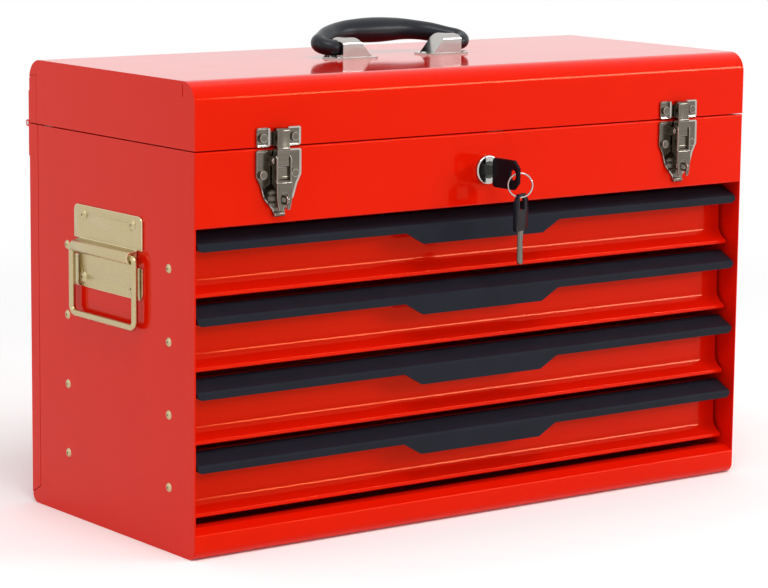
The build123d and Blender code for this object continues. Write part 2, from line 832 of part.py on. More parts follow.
def make_latch_strikes():
    """Strike plates on the lid: two ears and a lip that the hook pulls down."""
    width = strike_outer - strike_inner
    height = strike_high - strike_low
    middle = (strike_low + strike_high) / 2
    lip_top = link_top - latch_sheet - strike_gap
    lip_end = front - strike_lip_reach
    with BuildPart() as strikes:
        for centre in latch_centres:
            with BuildSketch(Plane.XZ.offset(-front)):
                for side in sides:
                    with Locations((centre + side * (strike_outer + strike_inner) / 2, middle)):
                        RectangleRounded(width, height, latch_corner)
                with Locations((centre, middle)):
                    Rectangle(2 * strike_inner + width, height - 2 * latch_corner)
                with Locations(*[(centre + side * latch_rivet_x, strike_rivet_z) for side in sides]):
                    Circle(rivet_shank, mode=Mode.SUBTRACT)
            extrude(amount=latch_sheet)
            with BuildSketch(Plane.YZ.offset(centre - strike_lip_half)):
                Polygon((front, lip_top - 2 * latch_sheet), (front, lip_top), (lip_end, lip_top),
                        (lip_end, lip_top - latch_sheet), align=None)
            extrude(amount=2 * strike_lip_half)
    save(strikes, "latch_strikes")


def make_latch_levers():
    """Levers: two side flanges on trunnions, joined below the link by a tapered web."""
    inner = lever_half - latch_sheet
    web_y = front - lever_web_out
    for centre, name in zip(latch_centres, ("left", "right")):
        with BuildPart() as lever:
            for side in sides:
                with BuildSketch(Plane.YZ.offset(centre + side * inner)):
                    with Locations((lever_y, lever_pivot_z)):
                        Circle(lever_round)
                    Polygon((lever_y + lever_round, lever_pivot_z), (lever_y + lever_round, lever_web_top),
                            (web_y - latch_sheet, lever_heel), (web_y - latch_sheet, lever_web_top),
                            (lever_y - lever_round, lever_pivot_z), align=None)
                    with Locations((link_y, link_pivot_z)):
                        Circle(link_trunnion + trunnion_play, mode=Mode.SUBTRACT)
                extrude(amount=side * latch_sheet)
                start = centre + side * lever_half
                end = start + side * (cheek_gap + latch_sheet)
                rod_x(start, end, lever_y, lever_pivot_z, trunnion_radius)
            outline = [(lever_half, lever_web_top), (lever_half, lever_heel)]
            outline += [(lever_tip_half, lever_tip)]
            middle = (staple_low + staple_high) / 2
            with BuildSketch(Plane.XZ.offset(-web_y)) as web:
                Polygon(*both_halves(outline, centre), align=None)
                fillet(web.vertices().group_by(Axis.Y)[0], latch_corner)
                with Locations((centre, middle)):
                    SlotOverall(staple_high - staple_low + 2 * teardrop_gap, 2 * teardrop_half,
                                rotation=90, mode=Mode.SUBTRACT)
            extrude(amount=latch_sheet)
        save(lever, f"{name}_latch_lever")


def make_latch_links():
    """Links: a rolled eye with trunnions, a flat strap and the hook over the strike."""
    back = link_y - link_eye + latch_sheet
    for centre, name in zip(latch_centres, ("left", "right")):
        with BuildPart() as link:
            with BuildSketch(Plane.YZ.offset(centre - link_half)):
                with Locations((link_y, link_pivot_z)):
                    Circle(link_eye)
                strap = [(link_y - link_eye, link_pivot_z), (link_y - link_eye, link_top)]
                strap += [(front - link_hook_gap, link_top), (front - link_hook_gap, link_top - latch_sheet)]
                strap += [(back, link_top - latch_sheet), (back, link_pivot_z)]
                Polygon(*strap, align=None)
            extrude(amount=2 * link_half)
            rod_x(centre - lever_half, centre + lever_half, link_y, link_pivot_z, link_trunnion)
        save(link, f"{name}_latch_link")


# ---- lock -----------------------------------------------------------------------
def make_lock():
    """Cam lock: housing and nut in the fascia, plug, cam and screw that turn together."""
    inner_end = front + lock_barrel_length
    with BuildPart() as housing:
        rod_y(front - lock_flange_depth, front, 0, lock_z, lock_flange)
        fillet(housing.edges().group_by(Axis.Y)[0], lock_flange_round)
        rod_y(front, inner_end, 0, lock_z, lock_barrel)
        rod_y(front - lock_flange_depth, inner_end, 0, lock_z, plug_radius + plug_play, Mode.SUBTRACT)
    save(housing, "lock_housing")
    with BuildPart() as nut:
        with BuildSketch(Plane.XZ.offset(-(front + sheet))):
            with Locations((0, lock_z)):
                RegularPolygon(lock_nut_radius, 6)
                Circle(lock_barrel + lock_play, mode=Mode.SUBTRACT)
        extrude(amount=-lock_nut_depth)
    save(nut, "lock_nut")
    cam_front = inner_end + cam_gap
    with BuildPart() as plug:
        rod_y(front - lock_flange_depth, cam_front, 0, lock_z, plug_radius)
        socket_y = front - lock_flange_depth + blade_depth
        block((-blade_thick / 2 - blade_play, front - lock_flange_depth, lock_z - blade_half - blade_play),
              (blade_thick / 2 + blade_play, socket_y, lock_z + blade_half + blade_play), Mode.SUBTRACT)
    save(plug, "lock_plug")
    with BuildPart() as cam:
        with BuildSketch(Plane.XZ.offset(-cam_front)):
            with Locations((0, lock_z)):
                Circle(cam_eye)
            with Locations((0, lock_z + cam_length / 2)):
                Rectangle(2 * cam_half, cam_length)
            with Locations((0, lock_z)):
                Circle(cam_screw_shank, mode=Mode.SUBTRACT)
        extrude(amount=-cam_sheet)
    save(cam, "lock_cam")
    cam_rear = cam_front + cam_sheet
    with BuildPart() as screw:
        rod_y(cam_front, cam_rear, 0, lock_z, cam_screw_shank)
        rod_y(cam_rear, cam_rear + cam_screw_depth, 0, lock_z, cam_screw)
    save(screw, "cam_screw")


def make_lock_catch():
    """Catch under the lid's front: a strap set back and hung down, with a foot below the cam."""
    seat = front + sheet
    strap = front + catch_set_back
    foot = lock_z - cam_half - catch_foot_gap - catch_sheet
    points = [(seat, catch_seat_high), (seat, catch_seat_low), (strap, catch_seat_low)]
    points += [(strap, foot), (strap + catch_foot, foot)]
    with BuildPart() as catch:
        bent_sheet(points, 3 * [catch_bend], catch_sheet, catch_near, catch_far)
    save(catch, "lock_catch")


def key_ring_hole():
    """Centre of the hole in the key's bow."""
    return Vector(0, front - key_start - key_length + key_hole_inset, lock_z - key_drop)


def make_key():
    """Key in the lock: a steel blade and a moulded bow with a hole near its end."""
    bow_end = front - key_start
    hole = key_ring_hole()
    with BuildPart() as bow:
        with BuildSketch(Plane.YZ.offset(-key_thick / 2)) as outline:
            with Locations((bow_end - key_length / 2, lock_z - key_drop)):
                Rectangle(key_length, key_height)
            chamfer(outline.vertices().group_by(Axis.X)[0], key_chamfer)
            fillet(outline.vertices().group_by(Axis.X)[-1], key_round)
            with Locations((hole.Y, hole.Z)):
                Circle(key_hole, mode=Mode.SUBTRACT)
        extrude(amount=key_thick)
        block((-blade_thick / 2, bow_end - blade_socket, lock_z - blade_half),
              (blade_thick / 2, bow_end, lock_z + blade_half), Mode.SUBTRACT)
    save(bow, "key_bow")
    with BuildPart() as blade:
        block((-blade_thick / 2, bow_end - blade_socket, lock_z - blade_half),
              (blade_thick / 2, front - lock_flange_depth + blade_depth - blade_end_gap, lock_z + blade_half))
    save(blade, "key_blade")


def make_key_ring():
    """Split ring of two close turns, hung through the hole in the bow."""
    turn = radians(ring_turn)
    drop = radians(ring_drop)
    along = Vector(cos(turn), -sin(turn), 0)
    facing = Vector(-sin(turn), -cos(turn), 0)
    centre = key_ring_hole() + along * (ring_radius * cos(drop)) - Vector(0, 0, ring_radius * sin(drop))
    with BuildPart() as ring:
        profile = Plane(origin=centre, x_dir=along, z_dir=facing.cross(along) * -1)
        with BuildSketch(profile):
            with Locations((ring_radius, -ring_turn_set), (ring_radius, ring_turn_set)):
                Circle(ring_wire)
        revolve(axis=Axis(centre, facing))
    save(ring, "key_ring")


# ---- drawers --------------------------------------------------------------------
def make_slides():
    """Outer members of the ball slides, riveted to the side panels."""
    half = slide_height / 2
    with BuildPart() as channels:
        for side in sides:
            wall = side * inner_half
            inside = side * (inner_half - slide_sheet)
            mouth = side * (inner_half - slide_depth)
            for level in slide_levels:
                near, far = slide_front, slide_front + slide_length
                block((wall, near, level - half), (inside, far, level + half))
                for edge in sides:
                    top = level + edge * half
                    block((wall, near, top), (mouth, far, top - edge * slide_sheet))
                for rivet_y in slide_rivets:
                    rod_x(wall, inside, rivet_y, level, rivet_shank, Mode.SUBTRACT)
    save(channels, "slide_channels")


def ball_rows(level):
    """Heights of the two ball rows of the slide at one level."""
    reach = slide_height / 2 - slide_sheet - ball_play - ball_diameter / 2
    return (level - reach, level + reach)


def make_slide_cages(number, level):
    """Ball cages of one drawer's two slides, each a channel strip with its balls."""
    ball = ball_diameter / 2
    web = inner_half - slide_sheet - cage_web_gap
    start = slide_front + cage_set_back
    ball_x = inner_half - slide_sheet - cage_web_gap - cage_sheet - ball - ball_play
    low_row, high_row = ball_rows(level)
    spread = (ball_count - 1) * ball_pitch
    first = start + (cage_length - spread) / 2
    spots = [(side * ball_x, first + ball_pitch * step, row)
             for side in sides for step in range(ball_count) for row in (low_row, high_row)]
    with BuildPart() as cages:
        for side in sides:
            inner = side * (web - cage_sheet)
            block((side * web, start, low_row), (inner, start + cage_length, high_row))
            for row in (low_row, high_row):
                block((side * web, start, row - cage_sheet / 2),
                      (side * (ball_x - ball * cage_arm_share), start + cage_length, row + cage_sheet / 2))
        with Locations(*spots):
            Sphere(ball + ball_play, mode=Mode.SUBTRACT)
        with Locations(*spots):
            Sphere(ball)
    save(cages, f"drawer_{number}_ball_cages")


def make_runners(number, level):
    """Inner slide members of one drawer, fixed to the sides of its tray."""
    low_row, high_row = ball_rows(level)
    track = ball_diameter / 2 + ball_play
    cage_inner = inner_half - slide_sheet - cage_web_gap - cage_sheet
    reach = cage_inner - runner_lip_gap
    near, far = slide_front, slide_front + slide_length
    with BuildPart() as runners:
        for side in sides:
            root = side * tray_half
            block((root, near, low_row + track), (side * (tray_half + slide_sheet), far, high_row - track))
            for edge, row in ((1, low_row), (-1, high_row)):
                face = row + edge * track
                block((root, near, face), (side * reach, far, face + edge * slide_sheet))
    save(runners, f"drawer_{number}_runners")


def make_tray(number, lip):
    """Open tray of one drawer, with a hem turned out along its rear edge."""
    low = lip + tray_floor
    high = low + tray_height
    with BuildPart() as tray:
        block((-tray_half, tray_front, low), (tray_half, tray_rear, high))
        fillet(tray.edges().group_by(Axis.Z)[0], tray_bend)
        block((sheet - tray_half, tray_front + sheet, low + sheet),
              (tray_half - sheet, tray_rear - sheet, high), Mode.SUBTRACT)
        block((-tray_half, tray_rear, high - sheet), (tray_half, tray_rear + tray_hem, high))
    save(tray, f"drawer_{number}_tray")


def make_front(number, lip):
    """Drawer front: flat face, cove flaring out to a lip, flanges above and below."""
    arc_top = lip + lip_height + cove_rise
    with BuildPart() as face:
        with BuildSketch(Plane.YZ.offset(-front_half)) as profile:
            with BuildLine():
                Polyline((face_y + front_top_flange, lip + front_top), (face_y, lip + front_top),
                         (face_y, arc_top))
                TangentArc((face_y, arc_top), (lip_y, lip + lip_height), tangent=(0, -1))
                Polyline((lip_y, lip + lip_height), (lip_y, lip), (lip_y + front_bottom_flange, lip))
                offset(amount=sheet, side=Side.LEFT)
            make_face()
            for crease in ((face_y, lip + front_top), (lip_y, lip + lip_height), (lip_y, lip)):
                fillet(profile.vertices().sort_by_distance(crease)[0], front_crease_round)
        extrude(amount=2 * front_half)
    save(face, f"drawer_{number}_front")


def pull_outline(lip):
    """Front view of a pull: straight lower edge with round ends and a dropped middle tab."""
    low = lip + pull_bottom
    drop = lip + tab_bottom
    top = lip + pull_top
    points = [(-front_half, top), (-front_half, low), (-tab_half_high, low), (-tab_half_low, drop)]
    points += [(-x, z) for x, z in reversed(points)]
    return points


def make_pull(number, lip):
    """Moulded pull over the top of a drawer front, hollow behind for the fingers."""
    crease = (pull_y + pull_crease_set, lip + pull_crease)
    outer = [(face_y, lip + pull_top), (face_y - pull_top_land, lip + pull_top), crease]
    outer += [(pull_y, lip + pull_front_edge), (pull_y, lip + tab_bottom), (face_y, lip + tab_bottom)]
    inner_y = pull_y + pull_wall
    hollow = [(face_y - pull_flange, lip + pull_top - pull_wall)]
    hollow += [(inner_y + pull_crease_set, lip + pull_crease - pull_wall)]
    hollow += [(inner_y, lip + pull_front_edge - pull_wall), (inner_y, lip)]
    hollow += [(face_y, lip), (face_y, lip + pull_flange_low)]
    hollow += [(face_y - pull_flange, lip + pull_flange_low)]
    with BuildPart() as pull:
        with BuildSketch(Plane.YZ.offset(-front_half)) as profile:
            Polygon(*outer, align=None)
            fillet(profile.vertices().sort_by_distance(crease)[0], pull_crease_round)
        extrude(amount=2 * front_half)
        with BuildSketch(Plane.YZ.offset(-front_half + pull_wall)):
            Polygon(*hollow, align=None)
        extrude(amount=2 * (front_half - pull_wall), mode=Mode.SUBTRACT)
        with BuildSketch(Plane.XZ.offset(-face_y)) as outline:
            Polygon(*pull_outline(lip), align=None)
            ends = outline.vertices().group_by(Axis.Y)[1].sort_by(Axis.X)
            fillet([ends[0], ends[-1]], pull_corner)
            fillet(outline.vertices().group_by(Axis.Y)[0], tab_corner)
        extrude(amount=face_y - pull_y, mode=Mode.INTERSECT)
    save(pull, f"drawer_{number}_pull")


def make_drawers():
    """Every drawer with its front, pull, runners and ball cages, the top one first."""
    for number, (lip, level) in enumerate(zip(lip_levels, slide_levels), start=1):
        make_tray(number, lip)
        make_front(number, lip)
        make_pull(number, lip)
        make_runners(number, level)
        make_slide_cages(number, level)


make_case_wrap()
make_side_panels()
make_fascia()
make_till_floor()
make_hinge()
make_lid_shell()
make_lid_ends()
make_lid_stay()
make_top_handle()
make_handle_brackets()
make_lid_rivets()
make_side_handle_plates()
make_side_bails()
make_case_rivets()
make_latch_bases()
make_latch_strikes()
make_latch_levers()
make_latch_links()
make_lock()
make_lock_catch()
make_key()
make_key_ring()
make_slides()
make_drawers()
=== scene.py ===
"""Looks of the portable steel tool box: finishes, latches, side handle plates, spare key and studio."""

import logging
import math
from collections.abc import Callable
from dataclasses import dataclass, field
from enum import Enum

import bmesh
import bpy
from mathutils import Matrix, Vector


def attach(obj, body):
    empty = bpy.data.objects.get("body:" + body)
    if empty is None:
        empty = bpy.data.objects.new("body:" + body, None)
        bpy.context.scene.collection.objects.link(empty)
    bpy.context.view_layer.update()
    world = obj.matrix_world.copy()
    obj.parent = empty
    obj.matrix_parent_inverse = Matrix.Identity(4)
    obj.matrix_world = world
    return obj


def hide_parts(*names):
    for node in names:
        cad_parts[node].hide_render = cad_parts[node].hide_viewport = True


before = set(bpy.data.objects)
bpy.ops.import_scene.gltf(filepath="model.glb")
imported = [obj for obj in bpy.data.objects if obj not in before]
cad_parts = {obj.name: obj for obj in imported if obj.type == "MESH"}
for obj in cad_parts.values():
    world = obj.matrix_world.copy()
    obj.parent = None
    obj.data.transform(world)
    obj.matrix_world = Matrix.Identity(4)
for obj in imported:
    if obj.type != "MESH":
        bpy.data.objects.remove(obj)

LOG = logging.getLogger("tool_box")
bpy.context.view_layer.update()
MM = 0.001
NEAR = 0.1  # millimetres within which a point counts as lying on a line
FACING = 0.9  # how much of a unit vector lies along an axis when it counts as pointing that way
SIDES = (-1, 1)
SEAM = 0.00001  # metres within which the points of a copied mesh are merged
FLAT_ANGLE = math.radians(1.0)
SHARP_ANGLE = math.radians(30)
SMOOTH_ANGLE = math.radians(35)

Colour = tuple[float, float, float, float]
Place = tuple[float, float, float]
WHITE: Colour = (1.0, 1.0, 1.0, 1.0)
BLACK: Colour = (0.0, 0.0, 0.0, 1.0)


# ---- shared helpers ---------------------------------------------------------------
class Effect(Enum):
    """Shader node groups that several finishes share."""

    ORANGE_PEEL = "orange_peel"
    BRUSHED = "brushed_grain"
    SPECKLE = "fine_speckle"
    SMUDGE = "soft_smudge"


class Axis(Enum):
    """The axes of the shared frame."""

    X = 0
    Y = 1
    Z = 2


class Coat(Enum):
    """Which of a piece's finishes a face has: the flat one, or the lighter copy painted on rounded edges and
    rims as a highlight.
    """

    FLAT = 0
    EDGE = 1


def mm(*values: float) -> tuple[float, ...]:
    """Millimetres to metres."""
    return tuple(value * MM for value in values)


def runs(way: Vector, axis: Axis) -> bool:
    """Whether a direction or a normal lies along an axis, either way."""
    return abs(way[axis.value]) > FACING


def to_front(out: Vector) -> bool:
    """Whether a normal points to the front of the box."""
    return out.y < -FACING


def deselect() -> None:
    """Leave edit mode and deselect everything."""
    if bpy.context.object and bpy.context.object.mode != "OBJECT":
        bpy.ops.object.mode_set(mode="OBJECT")
    bpy.ops.object.select_all(action="DESELECT")


def node(name: str) -> bpy.types.Object:
    """The CAD node of that name."""
    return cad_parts[name]


def dress(material: bpy.types.Material, *names: str) -> None:
    """Put one finish on CAD nodes.

    Args:
        material: the finish.
        names: the nodes' names.
    """
    for name in names:
        slots = node(name).data.materials
        slots.clear()
        slots.append(material)


# ---- effects ----------------------------------------------------------------------
class EffectGroup:
    """A shader node group under construction, laid out on Object coordinates."""

    def __init__(self, effect: Effect, inputs: dict[str, float], outputs: dict[str, str]) -> None:
        """Open the group.

        Args:
            effect: the effect that it makes.
            inputs: default value of each float input.
            outputs: socket type of each output.
        """
        self.tree = bpy.data.node_groups.new(effect.value, "ShaderNodeTree")
        for label, value in inputs.items():
            socket = self.tree.interface.new_socket(label, in_out="INPUT", socket_type="NodeSocketFloat")
            socket.default_value = value
        for label, kind in outputs.items():
            self.tree.interface.new_socket(label, in_out="OUTPUT", socket_type=kind)
        self.inputs = self.tree.nodes.new("NodeGroupInput").outputs
        self.outputs = self.tree.nodes.new("NodeGroupOutput").inputs
        self.place = self.tree.nodes.new("ShaderNodeTexCoord").outputs["Object"]

    def wire(self, source: bpy.types.NodeSocket, target: bpy.types.NodeSocket) -> None:
        """Link two sockets."""
        self.tree.links.new(source, target)

    def noise(self, vector: bpy.types.NodeSocket, detail: float = 2.0, scale: str = "") -> bpy.types.Node:
        """Add a noise texture.

        Args:
            vector: where it is read.
            detail: how many finer layers it has.
            scale: the group's input that drives its scale, if one does.

        Returns:
            The texture node.
        """
        texture = self.tree.nodes.new("ShaderNodeTexNoise")
        texture.inputs["Detail"].default_value = detail
        texture.inputs["Scale"].default_value = 1.0
        self.wire(vector, texture.inputs["Vector"])
        if scale:
            self.wire(self.inputs[scale], texture.inputs["Scale"])
        return texture

    def bump(self, height: bpy.types.NodeSocket, distance: float) -> None:
        """Turn a height into the group's normal, as strong as its Strength input says.

        Args:
            height: the height.
            distance: what a height of one stands for, in metres.
        """
        relief = self.tree.nodes.new("ShaderNodeBump")
        relief.inputs["Distance"].default_value = distance
        self.wire(height, relief.inputs["Height"])
        self.wire(self.inputs["Strength"], relief.inputs["Strength"])
        self.wire(relief.outputs["Normal"], self.outputs["Normal"])


@dataclass
class EffectLibrary:
    """Builds each shared shader node group once and hands it out."""

    groups: dict[Effect, bpy.types.NodeTree] = field(default_factory=dict)

    def get(self, effect: Effect) -> bpy.types.NodeTree:
        """Hand out the node group of an effect, built at its first use.

        Args:
            effect: which effect.

        Returns:
            Its node group.
        """
        if effect not in self.groups:
            makers = {
                Effect.ORANGE_PEEL: self._orange_peel,
                Effect.BRUSHED: self._brushed,
                Effect.SPECKLE: self._speckle,
                Effect.SMUDGE: self._smudge,
            }
            self.groups[effect] = makers[effect]()
        return self.groups[effect]

    @staticmethod
    def _orange_peel() -> bpy.types.NodeTree:
        """Slow swells and a fine ripple of sprayed paint, as a normal.

        Returns:
            The node group.
        """
        group = EffectGroup(Effect.ORANGE_PEEL, {"Ripple": 420.0, "Swell": 14.0, "Strength": 0.02},
                            {"Normal": "NodeSocketVector"})
        ripple = group.noise(group.place, scale="Ripple")
        swell = group.noise(group.place, scale="Swell")
        blend = group.tree.nodes.new("ShaderNodeMath")
        blend.operation = "MULTIPLY_ADD"
        blend.inputs[1].default_value = 0.25
        group.wire(ripple.outputs["Fac"], blend.inputs[0])
        group.wire(swell.outputs["Fac"], blend.inputs[2])
        group.bump(blend.outputs[0], 0.0006)
        return group.tree

    @staticmethod
    def _brushed() -> bpy.types.NodeTree:
        """Fine straight grain of rolled or brushed metal along X, as a value and a normal.

        Returns:
            The node group.
        """
        group = EffectGroup(Effect.BRUSHED, {"Across": 900.0, "Along": 40.0, "Strength": 0.08},
                            {"Value": "NodeSocketFloat", "Normal": "NodeSocketVector"})
        stretch = group.tree.nodes.new("ShaderNodeCombineXYZ")
        for axis, share in zip("XYZ", ("Along", "Across", "Across")):
            group.wire(group.inputs[share], stretch.inputs[axis])
        scale = group.tree.nodes.new("ShaderNodeVectorMath")
        scale.operation = "MULTIPLY"
        group.wire(group.place, scale.inputs[0])
        group.wire(stretch.outputs["Vector"], scale.inputs[1])
        grain = group.noise(scale.outputs["Vector"], detail=3.0)
        group.wire(grain.outputs["Fac"], group.outputs["Value"])
        group.bump(grain.outputs["Fac"], 0.0002)
        return group.tree

    @staticmethod
    def _speckle() -> bpy.types.NodeTree:
        """Fine moulded grain, as a normal.

        Returns:
            The node group.
        """
        group = EffectGroup(Effect.SPECKLE, {"Scale": 1400.0, "Strength": 0.1},
                            {"Normal": "NodeSocketVector"})
        grain = group.noise(group.place, scale="Scale")
        group.bump(grain.outputs["Fac"], 0.0002)
        return group.tree

    @staticmethod
    def _smudge() -> bpy.types.NodeTree:
        """Broad soft clouds between a low and a high value, for roughness or tone.

        Returns:
            The node group.
        """
        group = EffectGroup(Effect.SMUDGE, {"Scale": 18.0, "Low": 0.1, "High": 0.2},
                            {"Value": "NodeSocketFloat"})
        cloud = group.noise(group.place, detail=4.0, scale="Scale")
        cloud.inputs["Roughness"].default_value = 0.6
        span = group.tree.nodes.new("ShaderNodeMapRange")
        span.inputs["From Min"].default_value = 0.3
        span.inputs["From Max"].default_value = 0.7
        group.wire(cloud.outputs["Fac"], span.inputs["Value"])
        group.wire(group.inputs["Low"], span.inputs["To Min"])
        group.wire(group.inputs["High"], span.inputs["To Max"])
        group.wire(span.outputs["Result"], group.outputs["Value"])
        return group.tree


EFFECTS = EffectLibrary()


# ---- modelling --------------------------------------------------------------------
class Work:
    """One new piece on the bench: a mesh object and the operators that shape it, in millimetres.

    Every shaping method gives the piece back, so that the steps read in the order in which they are done.
    """

    def __init__(self, label: str, *finishes: bpy.types.Material) -> None:
        """Clear the bench for a new piece.

        Args:
            label: the piece's name.
            finishes: its finish, or the one of its flats and a lighter copy painted on its edges as a
                highlight.
        """
        deselect()
        self.label = label
        self.finishes = finishes
        self.piece: bpy.types.Object | None = None

    def _coat(self) -> None:
        """Give the piece its finishes and nothing else."""
        self.piece.data.materials.clear()
        for finish in self.finishes:
            self.piece.data.materials.append(finish)

    def _adopt(self) -> "Work":
        """Take the object just added as the piece, with its place in its mesh.

        Returns:
            This piece.
        """
        self.piece = bpy.context.object
        self.piece.name = self.label
        bpy.ops.object.transform_apply(location=True, rotation=True, scale=True)
        self._coat()
        bpy.ops.object.mode_set(mode="EDIT")
        return self

    def _open(self, piece: bpy.types.Object) -> "Work":
        """Take an object made from a copied mesh as the piece and select all of its mesh.

        Args:
            piece: the object, not yet in the scene.

        Returns:
            This piece.
        """
        self.piece = piece
        bpy.context.scene.collection.objects.link(piece)
        bpy.context.view_layer.objects.active = piece
        piece.select_set(True)
        bpy.ops.object.mode_set(mode="EDIT")
        bpy.ops.mesh.select_all(action="SELECT")
        return self

    def cube(self, low: Place, high: Place) -> "Work":
        """Start from a block.

        Args:
            low: one corner.
            high: the corner opposite.

        Returns:
            This piece.
        """
        centre = [(a + b) / 2 * MM for a, b in zip(low, high)]
        size = [abs(b - a) * MM for a, b in zip(low, high)]
        bpy.ops.mesh.primitive_cube_add(size=1.0, location=centre, scale=size)
        return self._adopt()

    def sheet(self, half: float, x: float, y: float, bottom: float, top: float) -> "Work":
        """Start from an upright sheet that faces the front.

        Args:
            half: half its width.
            x: its middle.
            y: its depth.
            bottom: its lower edge.
            top: its upper edge.

        Returns:
            This piece.
        """
        bpy.ops.mesh.primitive_plane_add(size=1.0, location=mm(x, y, (bottom + top) / 2),
                                         rotation=(math.pi / 2, 0, 0))
        bpy.context.object.scale = (2 * half * MM, (top - bottom) * MM, 1.0)
        return self._adopt()

    def rod(self, start: Place, end: Place, radius: float, sides: int = 24) -> "Work":
        """Start from a round rod.

        Args:
            start: the middle of one end.
            end: the middle of the other end.
            radius: its radius.
            sides: how many flats make it round.

        Returns:
            This piece.
        """
        near, far = Vector(mm(*start)), Vector(mm(*end))
        turn = (far - near).to_track_quat("Z", "Y").to_euler()
        bpy.ops.mesh.primitive_cylinder_add(vertices=sides, radius=radius * MM, depth=(far - near).length,
                                            location=(near + far) / 2, rotation=turn)
        return self._adopt()

    def copy_node(self, name: str) -> "Work":
        """Start from a merged copy of a CAD node's mesh.

        Args:
            name: the node's name.

        Returns:
            This piece.
        """
        self._open(bpy.data.objects.new(self.label, node(name).data.copy()))
        bpy.ops.object.mode_set(mode="OBJECT")
        self._coat()
        bpy.ops.mesh.customdata_custom_splitnormals_clear()
        bpy.ops.object.mode_set(mode="EDIT")
        bpy.ops.mesh.select_all(action="SELECT")
        bpy.ops.mesh.remove_doubles(threshold=SEAM)
        bpy.ops.mesh.dissolve_limited(angle_limit=FLAT_ANGLE)
        return self

    def _select(self, kind: str, pick: Callable[[bmesh.types.BMesh], None]) -> "Work":
        """Select parts of the mesh and nothing else.

        Args:
            kind: the selection mode.
            pick: marks what is selected.

        Returns:
            This piece.
        """
        bpy.ops.mesh.select_mode(type=kind)
        bpy.ops.mesh.select_all(action="DESELECT")
        mesh = bmesh.from_edit_mesh(self.piece.data)
        pick(mesh)
        mesh.select_flush_mode()
        bmesh.update_edit_mesh(self.piece.data)
        return self

    def points(self, test: Callable[[Vector], bool]) -> "Work":
        """Select points.

        Args:
            test: says yes to the places of those wanted.

        Returns:
            This piece.
        """
        def pick(mesh: bmesh.types.BMesh) -> None:
            """Mark the points wanted."""
            for point in mesh.verts:
                point.select_set(bool(test(point.co / MM)))

        return self._select("VERT", pick)

    def edges(self, test: Callable[[Vector, Vector], bool]) -> "Work":
        """Select edges.

        Args:
            test: says yes to the middles and directions of those wanted.

        Returns:
            This piece.
        """
        def pick(mesh: bmesh.types.BMesh) -> None:
            """Mark the edges wanted."""
            for edge in mesh.edges:
                near, far = (corner.co for corner in edge.verts)
                edge.select_set(bool(test((near + far) / 2 / MM, (far - near).normalized())))

        return self._select("EDGE", pick)

    def faces(self, test: Callable[[Vector, Vector], bool]) -> "Work":
        """Select faces.

        Args:
            test: says yes to the middles and normals of those wanted.

        Returns:
            This piece.
        """
        def pick(mesh: bmesh.types.BMesh) -> None:
            """Mark the faces wanted."""
            mesh.normal_update()
            for face in mesh.faces:
                face.select_set(bool(test(face.calc_center_median() / MM, face.normal)))

        return self._select("FACE", pick)

    def give(self, coat: Coat) -> "Work":
        """Give the selected faces one of the piece's finishes.

        Args:
            coat: which one.

        Returns:
            This piece.
        """
        mesh = bmesh.from_edit_mesh(self.piece.data)
        for face in mesh.faces:
            if face.select:
                face.material_index = coat.value
        bmesh.update_edit_mesh(self.piece.data)
        return self

    def cut(self, *levels: float, axis: Axis = Axis.Z) -> "Work":
        """Cut the mesh across.

        Args:
            levels: where.
            axis: the axis that the levels lie on.

        Returns:
            This piece.
        """
        normal = [0.0, 0.0, 0.0]
        normal[axis.value] = 1.0
        for level in levels:
            place = [0.0, 0.0, 0.0]
            place[axis.value] = level * MM
            bpy.ops.mesh.select_all(action="SELECT")
            bpy.ops.mesh.bisect(plane_co=place, plane_no=normal)
        return self

    def shift(self, *step: float) -> "Work":
        """Move what is selected."""
        bpy.ops.transform.translate(value=mm(*step))
        return self

    def widen(self, share: float, x: float) -> "Work":
        """Scale what is selected across, about a centre line."""
        bpy.ops.transform.resize(value=(share, 1, 1), center_override=mm(x, 0, 0))
        return self

    def inset(self, margin: float) -> "Work":
        """Inset the selected faces."""
        bpy.ops.mesh.inset(thickness=margin * MM)
        return self

    def rim(self, width: float, sunk: float) -> "Work":
        """Sink the selected front faces inside a rim in the edges' finish, a lighter copy painted as a
        highlight.
        """
        return self.give(Coat.EDGE).inset(width).give(Coat.FLAT).shift(0, sunk, 0)

    def bridge(self) -> "Work":
        """Join the two selected faces with a hole through the piece."""
        bpy.ops.mesh.bridge_edge_loops()
        return self

    def push(self, *step: float) -> "Work":
        """Extrude the selected faces by a step."""
        bpy.ops.mesh.extrude_region_move(TRANSFORM_OT_translate={"value": mm(*step)})
        return self

    def push_edges(self, *step: float) -> "Work":
        """Extrude the selected edges by a step."""
        bpy.ops.mesh.extrude_edges_move(TRANSFORM_OT_translate={"value": mm(*step)})
        return self

    def bevel(self, width: float, segments: int = 3, points: bool = False) -> "Work":
        """Round the selected edges, or the selected points."""
        bpy.ops.mesh.bevel(offset=width * MM, segments=segments,
                           affect="VERTICES" if points else "EDGES", clamp_overlap=True)
        return self

    def drop(self) -> "Work":
        """Delete the selected faces."""
        bpy.ops.mesh.delete(type="FACE")
        return self

    def wall(self, thickness: float) -> "Work":
        """Give the surface a wall behind it.

        Args:
            thickness: the wall's thickness.

        Returns:
            This piece.
        """
        bpy.ops.object.mode_set(mode="OBJECT")
        change = self.piece.modifiers.new("wall", "SOLIDIFY")
        change.thickness = thickness * MM
        change.offset = -1.0
        bpy.ops.object.modifier_apply(modifier=change.name)
        bpy.ops.object.mode_set(mode="EDIT")
        return self

